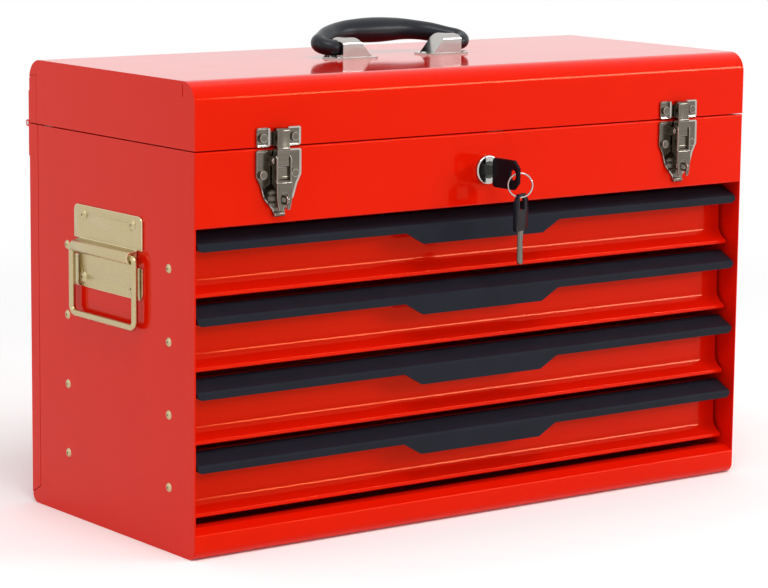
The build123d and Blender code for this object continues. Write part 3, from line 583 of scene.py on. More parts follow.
    def soften(self, width: float, segments: int = 2, clamp: bool = True) -> "Work":
        """Round every sharp edge a little, in the piece's last finish, which on two-finish pieces is a
        lighter copy painted as a highlight.

        Args:
            width: how far the rounding reaches.
            segments: how many flats make it round.
            clamp: keep it from running over its neighbours.

        Returns:
            This piece.
        """
        bpy.ops.object.mode_set(mode="OBJECT")
        change = self.piece.modifiers.new("soften", "BEVEL")
        change.width = width * MM
        change.segments = segments
        change.limit_method = "ANGLE"
        change.angle_limit = SHARP_ANGLE
        change.use_clamp_overlap = clamp
        # the rounded edges take the last finish, a painted highlight where the piece has two
        change.material = len(self.finishes) - 1
        bpy.ops.object.modifier_apply(modifier=change.name)
        bpy.ops.object.mode_set(mode="EDIT")
        return self

    def join(self, *others: "Work") -> "Work":
        """Join other finished shapes into this piece.

        Args:
            others: the shapes.

        Returns:
            This piece.
        """
        deselect()
        for other in others:
            other.piece.select_set(True)
        self.piece.select_set(True)
        bpy.context.view_layer.objects.active = self.piece
        bpy.ops.object.join()
        bpy.ops.object.mode_set(mode="EDIT")
        return self

    def hang(self, place: Place, turn: float) -> "Work":
        """Turn the whole mesh about the upright axis and then move it.

        Args:
            place: where its middle goes.
            turn: the turn in degrees.

        Returns:
            This piece.
        """
        bpy.ops.object.mode_set(mode="OBJECT")
        swing = Matrix.Rotation(math.radians(turn), 4, "Z")
        self.piece.data.transform(Matrix.Translation(mm(*place)) @ swing)
        bpy.ops.object.mode_set(mode="EDIT")
        return self

    def twin(self, label: str, *step: float) -> "Work":
        """Copy the piece with its own mesh and move the copy.

        Args:
            label: the copy's name.
            step: how far it moves.

        Returns:
            The copy.
        """
        copy = Work(label, *self.finishes)
        piece = self.piece.copy()
        piece.data = self.piece.data.copy()
        piece.name = label
        return copy._open(piece).shift(*step)

    def finish(self, body: str, slot: str, *nodes: str) -> None:
        """Close the piece, hang it on its body and hide what it stands for.

        Args:
            body: the body that it rides on.
            slot: the record's material slot; not used.
            nodes: CAD nodes that it replaces.
        """
        bpy.context.view_layer.objects.active = self.piece
        if self.piece.mode != "EDIT":
            bpy.ops.object.mode_set(mode="EDIT")
        bpy.ops.mesh.select_all(action="SELECT")
        bpy.ops.mesh.normals_make_consistent(inside=False)
        deselect()
        self.piece.select_set(True)
        bpy.context.view_layer.objects.active = self.piece
        bpy.ops.object.shade_smooth_by_angle(angle=SMOOTH_ANGLE)
        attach(self.piece, body)
        if nodes:
            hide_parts(*nodes)
        LOG.info("%s built", self.label)


# ---- finishes ---------------------------------------------------------------------
class Shader:
    """A material under construction: its tree and its Principled BSDF."""

    def __init__(self, name: str) -> None:
        """Start a material with nothing but its surface shader.

        Args:
            name: the material's name.
        """
        self.material = bpy.data.materials.new(name)
        self.material.use_nodes = True
        self.tree = self.material.node_tree
        self.surface = self.tree.nodes["Principled BSDF"]

    def set(self, **values: float | tuple) -> None:
        """Set sockets of the surface shader, with spaces written as underscores."""
        for label, value in values.items():
            self.surface.inputs[label.replace("_", " ")].default_value = value

    def link(self, source: bpy.types.NodeSocket, label: str) -> None:
        """Feed one socket of the surface shader."""
        self.tree.links.new(source, self.surface.inputs[label])

    def effect(self, effect: Effect, **values: float) -> dict[str, bpy.types.NodeSocket]:
        """Place a shared effect.

        Args:
            effect: which effect.
            values: its inputs' own values here.

        Returns:
            Its outputs.
        """
        place = self.tree.nodes.new("ShaderNodeGroup")
        place.node_tree = EFFECTS.get(effect)
        for label, value in values.items():
            place.inputs[label].default_value = value
        return place.outputs

    def mix(self, share: bpy.types.NodeSocket, low: Colour, high: Colour) -> bpy.types.Node:
        """Mix two colours.

        Args:
            share: how much of the second there is.
            low: the first colour.
            high: the second colour.

        Returns:
            The mix node.
        """
        blend = self.tree.nodes.new("ShaderNodeMix")
        blend.data_type = "RGBA"
        blend.inputs["A"].default_value = low
        blend.inputs["B"].default_value = high
        self.tree.links.new(share, blend.inputs["Factor"])
        return blend

    def tint(self, share: bpy.types.NodeSocket, low: Colour, high: Colour) -> None:
        """Vary the base colour between two tones."""
        self.link(self.mix(share, low, high).outputs["Result"], "Base Color")


@dataclass(frozen=True)
class GlossPaint:
    """Baked gloss enamel, whose head-on reflections are warm and whose grazing ones are white."""

    name: str
    colour: Colour
    shade: Colour
    sheen: Colour = (1.0, 0.25, 0.04, 1.0)
    index: float = 1.4
    rough_low: float = 0.07
    rough_high: float = 0.11
    ripple: float = 0.02
    tone_scale: float = 9.0
    gloss_scale: float = 24.0

    def make(self) -> bpy.types.Material:
        """Build the paint.

        Returns:
            Its material.
        """
        paint = Shader(self.name)
        paint.set(IOR=self.index, Specular_Tint=self.sheen)
        tone = paint.effect(Effect.SMUDGE, Scale=self.tone_scale, Low=0.0, High=1.0)
        paint.tint(tone["Value"], self.colour, self.shade)
        gloss = paint.effect(Effect.SMUDGE, Scale=self.gloss_scale, Low=self.rough_low, High=self.rough_high)
        paint.link(gloss["Value"], "Roughness")
        peel = paint.effect(Effect.ORANGE_PEEL, Strength=self.ripple)
        paint.link(peel["Normal"], "Normal")
        return paint.material


@dataclass(frozen=True)
class PlatedMetal:
    """Plated steel with a fine grain and handled, slightly uneven gloss."""

    name: str
    colour: Colour
    shade: Colour
    rough_low: float
    rough_high: float
    grain: float
    gloss_scale: float = 70.0

    def make(self) -> bpy.types.Material:
        """Build the metal.

        Returns:
            Its material.
        """
        metal = Shader(self.name)
        metal.set(Metallic=1.0)
        gloss = metal.effect(Effect.SMUDGE, Scale=self.gloss_scale, Low=self.rough_low, High=self.rough_high)
        metal.link(gloss["Value"], "Roughness")
        grain = metal.effect(Effect.BRUSHED, Strength=self.grain)
        metal.tint(grain["Value"], self.shade, self.colour)
        metal.link(grain["Normal"], "Normal")
        return metal.material


@dataclass(frozen=True)
class MouldedPlastic:
    """Moulded plastic or rubber with a fine grain."""

    name: str
    colour: Colour
    shade: Colour
    rough_low: float
    rough_high: float
    grain: float
    shine: float
    gloss_scale: float = 30.0
    tone_scale: float = 55.0

    def make(self) -> bpy.types.Material:
        """Build the plastic.

        Returns:
            Its material.
        """
        plastic = Shader(self.name)
        plastic.set(Specular_IOR_Level=self.shine)
        gloss = plastic.effect(Effect.SMUDGE, Scale=self.gloss_scale, Low=self.rough_low,
                               High=self.rough_high)
        plastic.link(gloss["Value"], "Roughness")
        tone = plastic.effect(Effect.SMUDGE, Scale=self.tone_scale, Low=0.0, High=1.0)
        plastic.tint(tone["Value"], self.colour, self.shade)
        grain = plastic.effect(Effect.SPECKLE, Strength=self.grain)
        plastic.link(grain["Normal"], "Normal")
        return plastic.material


RED_PAINT = GlossPaint("red_paint", (0.86, 0.009, 0.001, 1.0), (0.82, 0.008, 0.001, 1.0))
NICKEL = PlatedMetal("bright_nickel", (0.2, 0.172, 0.14, 1.0), (0.13, 0.112, 0.09, 1.0), 0.12, 0.22, 0.05)
# Lighter copy of the nickel, painted on the latches' rounded edges and rims as a highlight; the flat nickel
# is the darker copy.
NICKEL_HIGHLIGHT = PlatedMetal("nickel_edge_highlight", (0.56, 0.51, 0.46, 1.0), (0.44, 0.4, 0.36, 1.0), 0.1, 0.2, 0.03)
CHROME = PlatedMetal("bright_chrome", (0.6, 0.58, 0.55, 1.0), (0.46, 0.44, 0.42, 1.0), 0.08, 0.18, 0.03)
PLUG = PlatedMetal("plug_face", (0.09, 0.095, 0.09, 1.0), (0.05, 0.055, 0.05, 1.0), 0.2, 0.35, 0.1)
PALE_ZINC = PlatedMetal("pale_zinc", (0.58, 0.48, 0.27, 1.0), (0.49, 0.4, 0.23, 1.0), 0.2, 0.34, 0.12)
# Lighter copy of the pale zinc, painted on the side handle plates' rounded edges as a highlight.
PALE_HIGHLIGHT = PlatedMetal("pale_zinc_highlight", (0.8, 0.7, 0.46, 1.0), (0.66, 0.57, 0.37, 1.0), 0.18, 0.3, 0.1)
BRIGHT_ZINC = PlatedMetal("bright_zinc", (0.66, 0.67, 0.68, 1.0), (0.5, 0.51, 0.52, 1.0), 0.25, 0.4, 0.15)
PULL_PLASTIC = MouldedPlastic("pull_plastic", (0.012, 0.0135, 0.02, 1.0), (0.015, 0.017, 0.025, 1.0),
                              0.3, 0.4, 0.06, 0.1)
GRIP_RUBBER = MouldedPlastic("grip_rubber", (0.007, 0.009, 0.013, 1.0), (0.01, 0.0125, 0.018, 1.0),
                             0.28, 0.38, 0.12, 0.26)
KEY_PLASTIC = MouldedPlastic("key_plastic", (0.005, 0.005, 0.008, 1.0), (0.008, 0.008, 0.012, 1.0),
                             0.2, 0.3, 0.03, 0.07)


# ---- sub-assemblies ---------------------------------------------------------------
@dataclass
class CaseAndLid:
    """Painted sheets of the case and the lid, and the bare steel inside them."""

    paint: bpy.types.Material
    zinc: bpy.types.Material
    painted: tuple[str, ...] = (
        "case_wrap", "left_side_panel", "right_side_panel", "front_fascia", "till_floor",
        "lower_hinge_leaf", "upper_hinge_leaf", "lid_shell", "left_lid_end", "right_lid_end",
    )
    bare: tuple[str, ...] = (
        "slide_channels", "lock_nut", "lock_cam", "cam_screw", "lock_catch", "hinge_pin",
        "lid_stay", "lid_stay_lid_stud", "lid_stay_case_stud",
    )

    def build(self) -> None:
        """Dress the sheets and the hidden steel pieces."""
        dress(self.paint, *self.painted)
        dress(self.zinc, *self.bare)
        LOG.info("case and lid dressed")


@dataclass
class Drawers:
    """Drawer fronts, trays, pulls and slides."""

    paint: bpy.types.Material
    plastic: bpy.types.Material
    zinc: bpy.types.Material
    count: int = 4

    def build(self) -> None:
        """Dress every drawer's pieces."""
        for number in range(1, self.count + 1):
            dress(self.paint, f"drawer_{number}_front", f"drawer_{number}_tray")
            dress(self.plastic, f"drawer_{number}_pull")
            dress(self.zinc, f"drawer_{number}_runners", f"drawer_{number}_ball_cages")
            LOG.info("drawer %d dressed", number)


@dataclass
class Hardware:
    """Handles, lock, key and rivets."""

    chrome: bpy.types.Material
    dark: bpy.types.Material
    zinc: bpy.types.Material
    rubber: bpy.types.Material
    plastic: bpy.types.Material
    bright: tuple[str, ...] = (
        "handle_brackets", "top_handle_rod", "lid_rivets", "lock_housing", "key_ring", "key_blade",
    )
    pale: tuple[str, ...] = ("left_side_bail", "right_side_bail", "case_rivets")

    def build(self) -> None:
        """Dress the metal fittings, the grip and the key."""
        dress(self.chrome, *self.bright)
        dress(self.dark, "lock_plug")
        dress(self.zinc, *self.pale)
        dress(self.rubber, "top_handle_grip")
        dress(self.plastic, "key_bow")
        LOG.info("hardware dressed")


@dataclass
class SideHandles:
    """Pressed side handle plates with softened edges painted lighter as a highlight, in millimetres."""

    metal: bpy.types.Material
    # the second finish is a lighter copy of the metal, painted on the softened edges as a highlight
    painted_highlight: bpy.types.Material
    edge: float = 0.45

    def build(self) -> None:
        """Soften the plates' edges on a copy of their mesh, in the lighter finish painted as a highlight."""
        plates = Work("side_handle_plates_look", self.metal, self.painted_highlight).copy_node("side_handle_plates")
        plates.soften(self.edge, clamp=False).finish("case", "pale_brass_steel", "side_handle_plates")


@dataclass
class LatchPart:
    """What the parts of the left draw latch share: place, finishes, plates and rivets, in millimetres."""

    metal: bpy.types.Material
    # the second finish is a lighter copy of the metal, painted on edges and rims as a highlight
    painted_highlight: bpy.types.Material
    centre: float = -190.0
    front: float = -115.0
    plate: float = 1.9
    plate_edge: float = 0.35
    rim_width: float = 1.0
    rim_height: float = 0.7
    rivet_aside: float = 13.6
    rivet_foot: float = 0.8
    rivet_top: float = 3.1
    rivet_radius: float = 3.1
    rivet_sides: int = 32
    rivet_rim: float = 1.5
    rivet_sunk: float = 0.4
    rivet_edge: float = 0.4

    def work(self, label: str) -> Work:
        """A new shape of the latch, with lighter edges painted as a highlight on darker flats."""
        return Work(label, self.metal, self.painted_highlight)

    def rivet(self, side: int, level: float) -> Work:
        """One flat rivet with a sunk middle, over a rivet of the solids.

        Args:
            side: -1 on the left of the latch's middle, 1 on its right.
            level: its height.

        Returns:
            The rivet.
        """
        x = self.centre + side * self.rivet_aside
        head = self.work("rivet").rod((x, self.front - self.rivet_foot, level),
                                      (x, self.front - self.rivet_top, level),
                                      self.rivet_radius, self.rivet_sides)
        head.faces(lambda p, out: to_front(out)).inset(self.rivet_rim).shift(0, self.rivet_sunk, 0)
        return head.soften(self.rivet_edge)


@dataclass
class LatchBase(LatchPart):
    """Tapered base plate on the fascia, with its rim, cheeks, staple and curled tip."""

    top: float = 291.6
    half: float = 19.5
    corner: float = 1.8
    taper: tuple[tuple[float, float], ...] = ((273.0, 19.5), (266.5, 16.0), (257.0, 13.0), (248.5, 5.4),
                                              (244.5, 4.4))
    rivet_level: float = 274.0
    cheek_inside: float = 7.0
    cheek_thick: float = 1.0
    cheek_reach: float = 6.8
    cheek_low: float = 281.0
    cheek_high: float = 287.0
    cheek_corner: float = 2.4
    cheek_edge: float = 0.25
    staple_half: float = 0.9
    staple_reach: float = 14.2
    staple_low: float = 252.6
    staple_high: float = 259.6
    staple_corner: float = 3.0
    staple_wire: float = 2.0
    staple_edge: float = 0.3
    curl_half: float = 4.4
    curl_out: float = 1.6
    curl_level: float = 245.4
    curl_radius: float = 1.9
    curl_edge: float = 0.4

    def _plate(self) -> Work:
        """The plate, cut into rows that are narrowed one after the other.

        Returns:
            The plate.
        """
        bottom = self.taper[-1][0]
        plate = self.work("left_latch_base").cube(
            (self.centre - self.half, self.front, bottom),
            (self.centre + self.half, self.front - self.plate, self.top))
        plate.cut(*[level for level, _ in self.taper[:-1]])
        half = self.half
        for level, next_half in self.taper:
            plate.points(lambda p, row=level: p.z < row + NEAR).widen(next_half / half, self.centre)
            half = next_half
        plate.edges(lambda p, way: runs(way, Axis.Y) and p.z > self.top - NEAR).bevel(self.corner)
        plate.faces(lambda p, out: to_front(out)).rim(self.rim_width, self.rim_height)
        return plate.soften(self.plate_edge)

    def _cheek(self, side: int) -> Work:
        """One upright cheek beside the lever.

        Args:
            side: -1 on the left of the latch's middle, 1 on its right.

        Returns:
            The cheek.
        """
        inside = self.centre + side * self.cheek_inside
        reach = self.front - self.cheek_reach
        cheek = self.work("cheek").cube((inside, reach, self.cheek_low),
                                        (inside + side * self.cheek_thick, self.front, self.cheek_high))
        cheek.edges(lambda p, way: runs(way, Axis.X) and p.y < reach + NEAR).bevel(self.cheek_corner)
        return cheek.soften(self.cheek_edge)

    def _staple(self) -> Work:
        """The staple below the lever: a rounded tongue with a hole through it.

        Returns:
            The staple.
        """
        reach = self.front - self.staple_reach
        tongue = self.work("staple").cube((self.centre - self.staple_half, reach, self.staple_low),
                                          (self.centre + self.staple_half, self.front, self.staple_high))
        tongue.edges(lambda p, way: runs(way, Axis.X) and p.y < reach + NEAR).bevel(self.staple_corner, 5)
        tongue.faces(lambda p, out: runs(out, Axis.X)).inset(self.staple_wire).bridge()
        return tongue.soften(self.staple_edge)

    def _curl(self) -> Work:
        """The rolled tip of the plate.

        Returns:
            The curl.
        """
        out = self.front - self.curl_out
        curl = self.work("curl").rod((self.centre - self.curl_half, out, self.curl_level),
                                     (self.centre + self.curl_half, out, self.curl_level), self.curl_radius)
        return curl.soften(self.curl_edge)

    def build(self) -> Work:
        """Model the base.

        Returns:
            The base in one piece.
        """
        plate = self._plate()
        rivets = [self.rivet(side, self.rivet_level) for side in SIDES]
        cheeks = [self._cheek(side) for side in SIDES]
        return plate.join(*rivets, *cheeks, self._staple(), self._curl())


@dataclass
class LatchStrike(LatchPart):
    """Strike plate on the lid: two rimmed ears, the bar between them and its lip."""

    bar_half: float = 8.5
    bar_thick: float = 1.2
    bar_low: float = 294.6
    bar_high: float = 304.6
    lip_half: float = 4.2
    lip_reach: float = 4.8
    lip_low: float = 304.0
    lip_high: float = 305.4
    thin_edge: float = 0.3
    rivet_level: float = 300.2
    ear_inside: float = 7.5
    ear_outside: float = 19.0
    ear_low: float = 293.9
    ear_high: float = 307.5
    ear_corner: float = 1.6

    def _block(self, label: str, half: float, reach: float, low: float, high: float) -> Work:
        """A softened block across the latch's middle.

        Args:
            label: its name.
            half: half its width.
            reach: how far it stands out of the lid.
            low: its lower side.
            high: its upper side.

        Returns:
            The block.
        """
        block = self.work(label).cube((self.centre - half, self.front - reach, low),
                                      (self.centre + half, self.front, high))
        return block.soften(self.thin_edge)

    def _ear(self, side: int) -> Work:
        """One rimmed ear.

        Args:
            side: -1 on the left of the latch's middle, 1 on its right.

        Returns:
            The ear.
        """
        ear = self.work("ear").cube(
            (self.centre + side * self.ear_inside, self.front, self.ear_low),
            (self.centre + side * self.ear_outside, self.front - self.plate, self.ear_high))
        ear.edges(lambda p, way: runs(way, Axis.Y)).bevel(self.ear_corner)
        ear.faces(lambda p, out: to_front(out)).rim(self.rim_width, self.rim_height)
        return ear.soften(self.plate_edge)

    def build(self) -> Work:
        """Model the strike.

        Returns:
            The strike in one piece.
        """
        bar = self._block("left_latch_strike", self.bar_half, self.bar_thick, self.bar_low, self.bar_high)
        lip = self._block("lip", self.lip_half, self.lip_reach, self.lip_low, self.lip_high)
        rivets = [self.rivet(side, self.rivet_level) for side in SIDES]
        return bar.join(lip, *rivets, *[self._ear(side) for side in SIDES])


@dataclass
class LatchLever(LatchPart):
    """Lever: an arched web with a sloped ledge above it, two side flanges and their pin."""

    web_out: float = 9.4
    web_rows: tuple[tuple[float, float], ...] = ((254.0, 5.9), (249.0, 4.9))
    web_half: float = 6.6
    web_top: float = 268.4
    web_wall: float = 1.1
    slot_half: float = 2.5
    slot_top: float = 261.6
    slot_round: float = 2.2
    ledge_back: float = 2.3
    ledge_rise: float = 2.6
    thin_edge: float = 0.3
    flange_inside: float = 5.4
    flange_outside: float = 6.5
    flange_front: float = 8.8
    flange_back: float = 2.3
    flange_low: float = 263.2
    flange_high: float = 288.0
    flange_heel: float = 4.5
    flange_round: float = 2.6
    pin_half: float = 8.6
    pin_out: float = 4.6
    pin_level: float = 284.0
    pin_radius: float = 1.5

    def _web(self) -> Work:
        """The web: a sheet with a slot that ends in an arch, and the ledge above it.

        Returns:
            The web.
        """
        x, slot = self.centre, self.slot_half
        bottom = self.web_rows[-1][0]
        web = self.work("left_latch_lever_look").sheet(self.web_half, x, self.front - self.web_out, bottom,
                                                       self.web_top)
        web.cut(self.web_rows[0][0], self.slot_top).cut(x - slot, x + slot, axis=Axis.X)
        half = self.web_half
        for level, next_half in self.web_rows:
            web.points(lambda p, row=level: p.z < row + NEAR and abs(p.x - x) > slot + NEAR)
            web.widen(next_half / half, x)
            half = next_half
        web.faces(lambda p, out: abs(p.x - x) < slot and p.z < self.slot_top).drop()
        web.points(lambda p: abs(abs(p.x - x) - slot) < NEAR and abs(p.z - self.slot_top) < NEAR)
        web.bevel(self.slot_round, 4, True)
        web.edges(lambda p, way: runs(way, Axis.X) and p.z > self.web_top - NEAR)
        web.push_edges(0, self.ledge_back, self.ledge_rise)
        return web.wall(self.web_wall).soften(self.thin_edge)

    def _flange(self, side: int) -> Work:
        """One side flange, with its heel cut away and its top rounded.

        Args:
            side: -1 on the left of the latch's middle, 1 on its right.

        Returns:
            The flange.
        """
        back = self.front - self.flange_back
        flange = self.work("flange").cube(
            (self.centre + side * self.flange_inside, self.front - self.flange_front, self.flange_low),
            (self.centre + side * self.flange_outside, back, self.flange_high))
        flange.points(lambda p: p.z < self.flange_low + NEAR and p.y > back - NEAR)
        flange.shift(0, 0, self.flange_heel)
        flange.edges(lambda p, way: runs(way, Axis.X) and p.z > self.flange_high - NEAR)
        return flange.bevel(self.flange_round).soften(self.thin_edge)

    def build(self) -> Work:
        """Model the lever.

        Returns:
            The lever in one piece.
        """
        web = self._web()
        flanges = [self._flange(side) for side in SIDES]
        out = self.front - self.pin_out
        pin = self.work("pin").rod((self.centre - self.pin_half, out, self.pin_level),
                                   (self.centre + self.pin_half, out, self.pin_level), self.pin_radius)
        return web.join(pin.soften(self.thin_edge), *flanges)


@dataclass
class LatchLink(LatchPart):
    """Link: a channel strap with a ridge, a step, a rolled eye and the hook at its top."""

    half: float = 5.2
    reach: float = 7.9
    back: float = 2.2
    bottom: float = 269.6
    top: float = 307.2
    hook_round: float = 2.2
    ridge: tuple[float, float] = (291.5, 292.9)
    ridge_height: float = 0.8
    step: tuple[float, float] = (279.4, 280.2)
    step_depth: float = 0.9
    sheet: float = 1.0
    edge: float = 0.25
    eye_half: float = 5.1
    eye_out: float = 4.5
    eye_level: float = 271.9
    eye_radius: float = 2.8
    eye_edge: float = 0.4

    def _strap(self) -> Work:
        """The strap: a channel open to the back and below.

        Returns:
            The strap.
        """
        x, out, (low, high) = self.centre, self.front - self.reach, self.ridge
        strap = self.work("left_latch_link_look").cube((x - self.half, out, self.bottom),
                                                       (x + self.half, self.front - self.back, self.top))
        strap.edges(lambda p, way: runs(way, Axis.X) and p.z > self.top - NEAR and p.y < out + NEAR)
        strap.bevel(self.hook_round, 4)
        strap.cut(high, low, self.step[1], self.step[0])
        strap.faces(lambda p, way: way.y > FACING or way.z < -FACING).drop()
        strap.points(lambda p: p.z < self.step[0] + NEAR and p.y < out + NEAR).shift(0, self.step_depth, 0)
        strap.faces(lambda p, way: to_front(way) and low < p.z < high).push(0, -self.ridge_height, 0)
        return strap.wall(self.sheet).soften(self.edge)

    def build(self) -> Work:
        """Model the link.

        Returns:
            The link in one piece.
        """
        strap = self._strap()
        out = self.front - self.eye_out
        eye = self.work("eye").rod((self.centre - self.eye_half, out, self.eye_level),
                                   (self.centre + self.eye_half, out, self.eye_level), self.eye_radius)
        return strap.join(eye.soften(self.eye_edge))


@dataclass
class Latches:
    """The two draw latches. The left one is modelled and copied to the right."""

    metal: bpy.types.Material
    # the second finish is a lighter copy of the metal, painted on edges and rims as a highlight
    painted_highlight: bpy.types.Material
    spacing: float = 380.0

    def _pair(self, left: Work, right_name: str, bodies: tuple[str, str], nodes: tuple[str, str]) -> None:
        """Copy a part of the left latch to the right and hang both on their bodies.

        Args:
            left: the part of the left latch.
            right_name: the copy's name.
            bodies: the bodies of the left one and the right one.
            nodes: the nodes that the left one and the right one replace.
        """
        right = left.twin(right_name, self.spacing, 0, 0)
        for part, body, hidden in zip((left, right), bodies, nodes):
            part.finish(body, "bright_nickel", hidden)

    def build(self) -> None:
        """Model each part of the left latch and make the pairs."""
        base = LatchBase(self.metal, self.painted_highlight).build()
        strike = LatchStrike(self.metal, self.painted_highlight).build()
        self._pair(base, "right_latch_base", ("case", "case"), ("latch_bases", "latch_bases"))
        self._pair(strike, "right_latch_strike", ("lid", "lid"), ("latch_strikes", "latch_strikes"))
        lever = LatchLever(self.metal, self.painted_highlight).build()
        link = LatchLink(self.metal, self.painted_highlight).build()
        for name, part in (("lever", lever), ("link", link)):
            self._pair(part, f"right_latch_{name}_look", (f"left_{name}", f"right_{name}"),
                       (f"left_latch_{name}", f"right_latch_{name}"))


@dataclass
class SpareKey:
    """Second key that hangs on the ring, in millimetres from the point that it hangs by."""

    plastic: bpy.types.Material
    metal: bpy.types.Material
    place: Place = (4.9, -150.1, 243.9)
    turn: float = 26.4
    bow_half: float = 11.0
    bow_top: float = 6.4
    bow_low: float = -21.4
    bow_thick: float = 2.6
    shoulder: float = 5.5
    bow_corner: float = 3.0
    bow_edge: float = 0.4
    hole_half: float = 4.2
    hole_low: float = -5.6
    hole_high: float = 4.4
    blade_half: float = 3.8
    blade_thick: float = 2.0
    blade_low: float = -46.6
    blade_root: float = 2.0
    blade_tip: float = 2.6
    blade_edge: float = 0.2
    groove_margin: float = 0.9
    first_notch: float = 6.0
    notch_pitch: float = 3.0
    notch_depths: tuple[float, ...] = (0.9, 1.7, 0.6, 1.4, 0.8, 1.2)

    def _bow(self) -> Work:
        """The bow with cut shoulders and the hole for the ring.

        Returns:
            The bow.
        """
        deep = self.bow_thick / 2
        bow = Work("spare_key_bow", self.plastic)
        bow.cube((-self.bow_half, -deep, self.bow_low), (self.bow_half, deep, self.bow_top))
        bow.edges(lambda p, way: runs(way, Axis.Y) and p.z > self.bow_top - NEAR).bevel(self.shoulder, 1)
        bow.edges(lambda p, way: runs(way, Axis.Y) and p.z < self.bow_low + NEAR).bevel(self.bow_corner, 4)
        bow.cut(self.hole_low, self.hole_high).cut(-self.hole_half, self.hole_half, axis=Axis.X)
        bow.faces(lambda p, out: runs(out, Axis.Y) and abs(p.x) < self.hole_half
                  and self.hole_low < p.z < self.hole_high).bridge()
        return bow.soften(self.bow_edge)

    def _blade(self) -> Work:
        """The blade with its cuts along one edge, and each face inset by a margin.

        Returns:
            The blade.
        """
        deep = self.blade_thick / 2
        blade = Work("spare_key_blade", self.metal)
        blade.cube((-self.blade_half, -deep, self.blade_low),
                   (self.blade_half, deep, self.bow_low + self.blade_root))
        blade.edges(lambda p, way: runs(way, Axis.Y) and p.z < self.blade_low + NEAR).bevel(self.blade_tip, 2)
        levels = [self.bow_low - self.first_notch - self.notch_pitch * step
                  for step in range(len(self.notch_depths))]
        blade.cut(*levels)
        for depth, level in zip(self.notch_depths, levels):
            blade.points(lambda p, row=level: abs(p.z - row) < NEAR and p.x > self.blade_half - NEAR)
            blade.shift(-depth, 0, 0)
        blade.faces(lambda p, out: runs(out, Axis.Y) and p.z < self.bow_low).inset(self.groove_margin)
        return blade.soften(self.blade_edge)

    def build(self) -> None:
        """Model the key upright at the origin and hang it on the ring."""
        self._bow().hang(self.place, self.turn).finish("ring", "black_key")
        self._blade().hang(self.place, self.turn).finish("ring", "bright_nickel")


# ---- studio -----------------------------------------------------------------------
@dataclass(frozen=True)
class SoftBox:
    """A rectangular lamp, in metres and watts."""

    name: str
    place: Place
    size: tuple[float, float]
    power: float
    aim: Place = (0.0, 0.0, 0.15)

    def light(self) -> None:
        """Hang the lamp and turn it to what it faces."""
        deselect()
        bpy.ops.object.light_add(type="AREA", location=self.place)
        lamp = bpy.context.object
        lamp.name = self.name
        lamp.data.shape = "RECTANGLE"
        lamp.data.size, lamp.data.size_y = self.size
        lamp.data.energy = self.power
        facing = Vector(self.aim) - Vector(self.place)
        lamp.rotation_euler = facing.to_track_quat("-Z", "Y").to_euler()


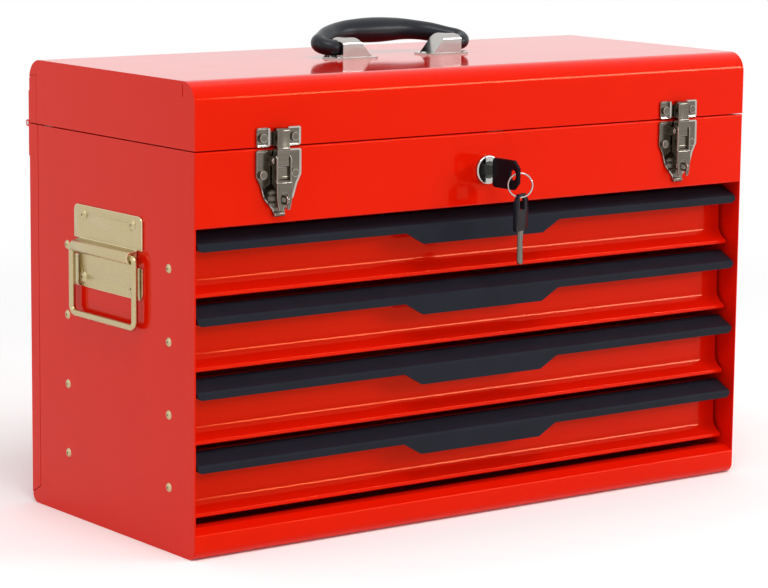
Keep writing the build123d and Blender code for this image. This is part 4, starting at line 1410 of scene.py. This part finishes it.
@dataclass
class Studio:
    """White floor, soft boxes and the camera, in metres and degrees."""

    image_width: float = 768.0
    sensor: float = 36.0
    focal_pixels: float = 2961.4
    sight: float = 100.0
    azimuth: float = -36.558
    elevation: float = 9.266
    roll: float = 0.586
    eye: Place = (-1.3741, -1.8404, 0.5293)
    floor_reach: float = 60.0
    floor_light: Colour = (0.8, 0.8, 0.8, 1.0)
    floor_white: Colour = (1.12, 1.12, 1.12, 1.0)
    floor_rough: float = 0.8
    fade_start: float = 0.6
    fade_end: float = 1.5
    world_light: float = 0.5
    lamps: tuple[SoftBox, ...] = (
        SoftBox("highlight_strip", (2.1, -2.2, 1.1), (1.5, 0.3), 26.0),
        SoftBox("front_soft_box", (-0.6, -1.7, 3.2), (2.0, 1.5), 52.0),
        SoftBox("left_soft_box", (-2.8, 0.2, 1.6), (1.6, 1.6), 6.0),
        SoftBox("top_soft_box", (0.2, 0.4, 2.8), (2.4, 2.0), 6.0, (0.0, 0.0, 0.2)),
    )

    def _camera(self) -> None:
        """Place the camera where the photograph was taken from."""
        azimuth, elevation, roll = map(math.radians, (self.azimuth, self.elevation, self.roll))
        back = Vector((math.sin(azimuth) * math.cos(elevation),
                       -math.cos(azimuth) * math.cos(elevation), math.sin(elevation)))
        level = Vector((0, 0, 1)).cross(back).normalized()
        above = back.cross(level)
        right = level * math.cos(roll) + above * math.sin(roll)
        up = above * math.cos(roll) - level * math.sin(roll)
        turn = Matrix((right, up, back)).transposed().to_4x4()
        deselect()
        bpy.ops.object.camera_add()
        camera = bpy.context.object
        camera.name = "photo_camera"
        camera.matrix_world = Matrix.Translation(self.eye) @ turn
        camera.data.sensor_width = self.sensor
        camera.data.lens = self.focal_pixels / self.image_width * self.sensor
        camera.data.clip_end = self.sight
        bpy.context.scene.camera = camera

    @staticmethod
    def _math(tree: bpy.types.NodeTree, operation: str,
              *sources: bpy.types.NodeSocket) -> bpy.types.NodeSocket:
        """Add one step of arithmetic.

        Args:
            tree: the tree that it goes into.
            operation: what is done with the values.
            sources: the values.

        Returns:
            The result.
        """
        step = tree.nodes.new("ShaderNodeMath")
        step.operation = operation
        for place, source in enumerate(sources):
            tree.links.new(source, step.inputs[place])
        return step.outputs[0]

    def _seen_share(self, tree: bpy.types.NodeTree) -> bpy.types.NodeSocket:
        """One for rays of the camera, of reflections and through glass, else zero.

        Args:
            tree: the tree of the material or the world.

        Returns:
            The share.
        """
        path = tree.nodes.new("ShaderNodeLightPath").outputs
        direct = self._math(tree, "MAXIMUM", path["Is Camera Ray"], path["Is Glossy Ray"])
        return self._math(tree, "MAXIMUM", path["Is Transmission Ray"], direct)

    def _far_share(self, tree: bpy.types.NodeTree, seen: bpy.types.NodeSocket) -> bpy.types.NodeSocket:
        """How far the floor has run out into plain white, for the rays that see it.

        Args:
            tree: the floor's tree.
            seen: the share from _seen_share.

        Returns:
            The share.
        """
        place = tree.nodes.new("ShaderNodeTexCoord")
        reach = tree.nodes.new("ShaderNodeVectorMath")
        reach.operation = "LENGTH"
        span = tree.nodes.new("ShaderNodeMapRange")
        span.interpolation_type = "SMOOTHSTEP"
        span.inputs["From Min"].default_value = self.fade_start
        span.inputs["From Max"].default_value = self.fade_end
        tree.links.new(place.outputs["Object"], reach.inputs[0])
        tree.links.new(reach.outputs["Value"], span.inputs["Value"])
        return self._math(tree, "MULTIPLY", span.outputs["Result"], seen)

    def _world(self) -> None:
        """White to the camera and in reflections, softer as a light."""
        world = bpy.data.worlds.new("studio_white")
        bpy.context.scene.world = world
        world.use_nodes = True
        tree = world.node_tree
        level = tree.nodes.new("ShaderNodeMapRange")
        level.inputs["To Min"].default_value = self.world_light
        level.inputs["To Max"].default_value = 1.0
        tree.links.new(self._seen_share(tree), level.inputs["Value"])
        background = tree.nodes["Background"]
        background.inputs["Color"].default_value = WHITE
        tree.links.new(level.outputs["Result"], background.inputs["Strength"])

    def _floor(self) -> None:
        """Plain white floor that keeps the object's shadow and fades into the white behind it."""
        deselect()
        bpy.ops.mesh.primitive_plane_add(size=self.floor_reach)
        floor = bpy.context.object
        floor.name = "studio_floor"
        shader = Shader("floor_white")
        shader.set(Roughness=self.floor_rough, Specular_IOR_Level=0.0, Emission_Color=WHITE)
        seen = self._seen_share(shader.tree)
        far = self._far_share(shader.tree, seen)
        tone = shader.mix(seen, self.floor_light, self.floor_white)
        fade = shader.mix(far, WHITE, BLACK)
        shader.tree.links.new(tone.outputs["Result"], fade.inputs["A"])
        shader.link(fade.outputs["Result"], "Base Color")
        shader.link(far, "Emission Strength")
        floor.data.materials.append(shader.material)

    def build(self) -> None:
        """Set up the whole studio."""
        self._camera()
        self._world()
        self._floor()
        for lamp in self.lamps:
            lamp.light()
        bpy.context.scene.view_settings.view_transform = "Standard"
        LOG.info("studio ready")


def main() -> None:
    """Dress the part, model what the scene adds and set up the studio."""
    logging.basicConfig(level=logging.INFO)
    paint, pull, rubber, key = (finish.make() for finish in (RED_PAINT, PULL_PLASTIC, GRIP_RUBBER,
                                                             KEY_PLASTIC))
    # The edge copies of nickel and pale zinc are lighter, painted on rounded edges and rims as highlights.
    nickel, nickel_edge_highlight, chrome, plug = (metal.make() for metal in (NICKEL, NICKEL_HIGHLIGHT, CHROME, PLUG))
    pale, pale_edge_highlight, zinc = (metal.make() for metal in (PALE_ZINC, PALE_HIGHLIGHT, BRIGHT_ZINC))
    CaseAndLid(paint, zinc).build()
    Drawers(paint, pull, zinc).build()
    Hardware(chrome, plug, pale, rubber, key).build()
    SideHandles(pale, pale_edge_highlight).build()
    Latches(nickel, nickel_edge_highlight).build()
    SpareKey(key, nickel).build()
    Studio().build()


if __name__ == "__main__":
    main()
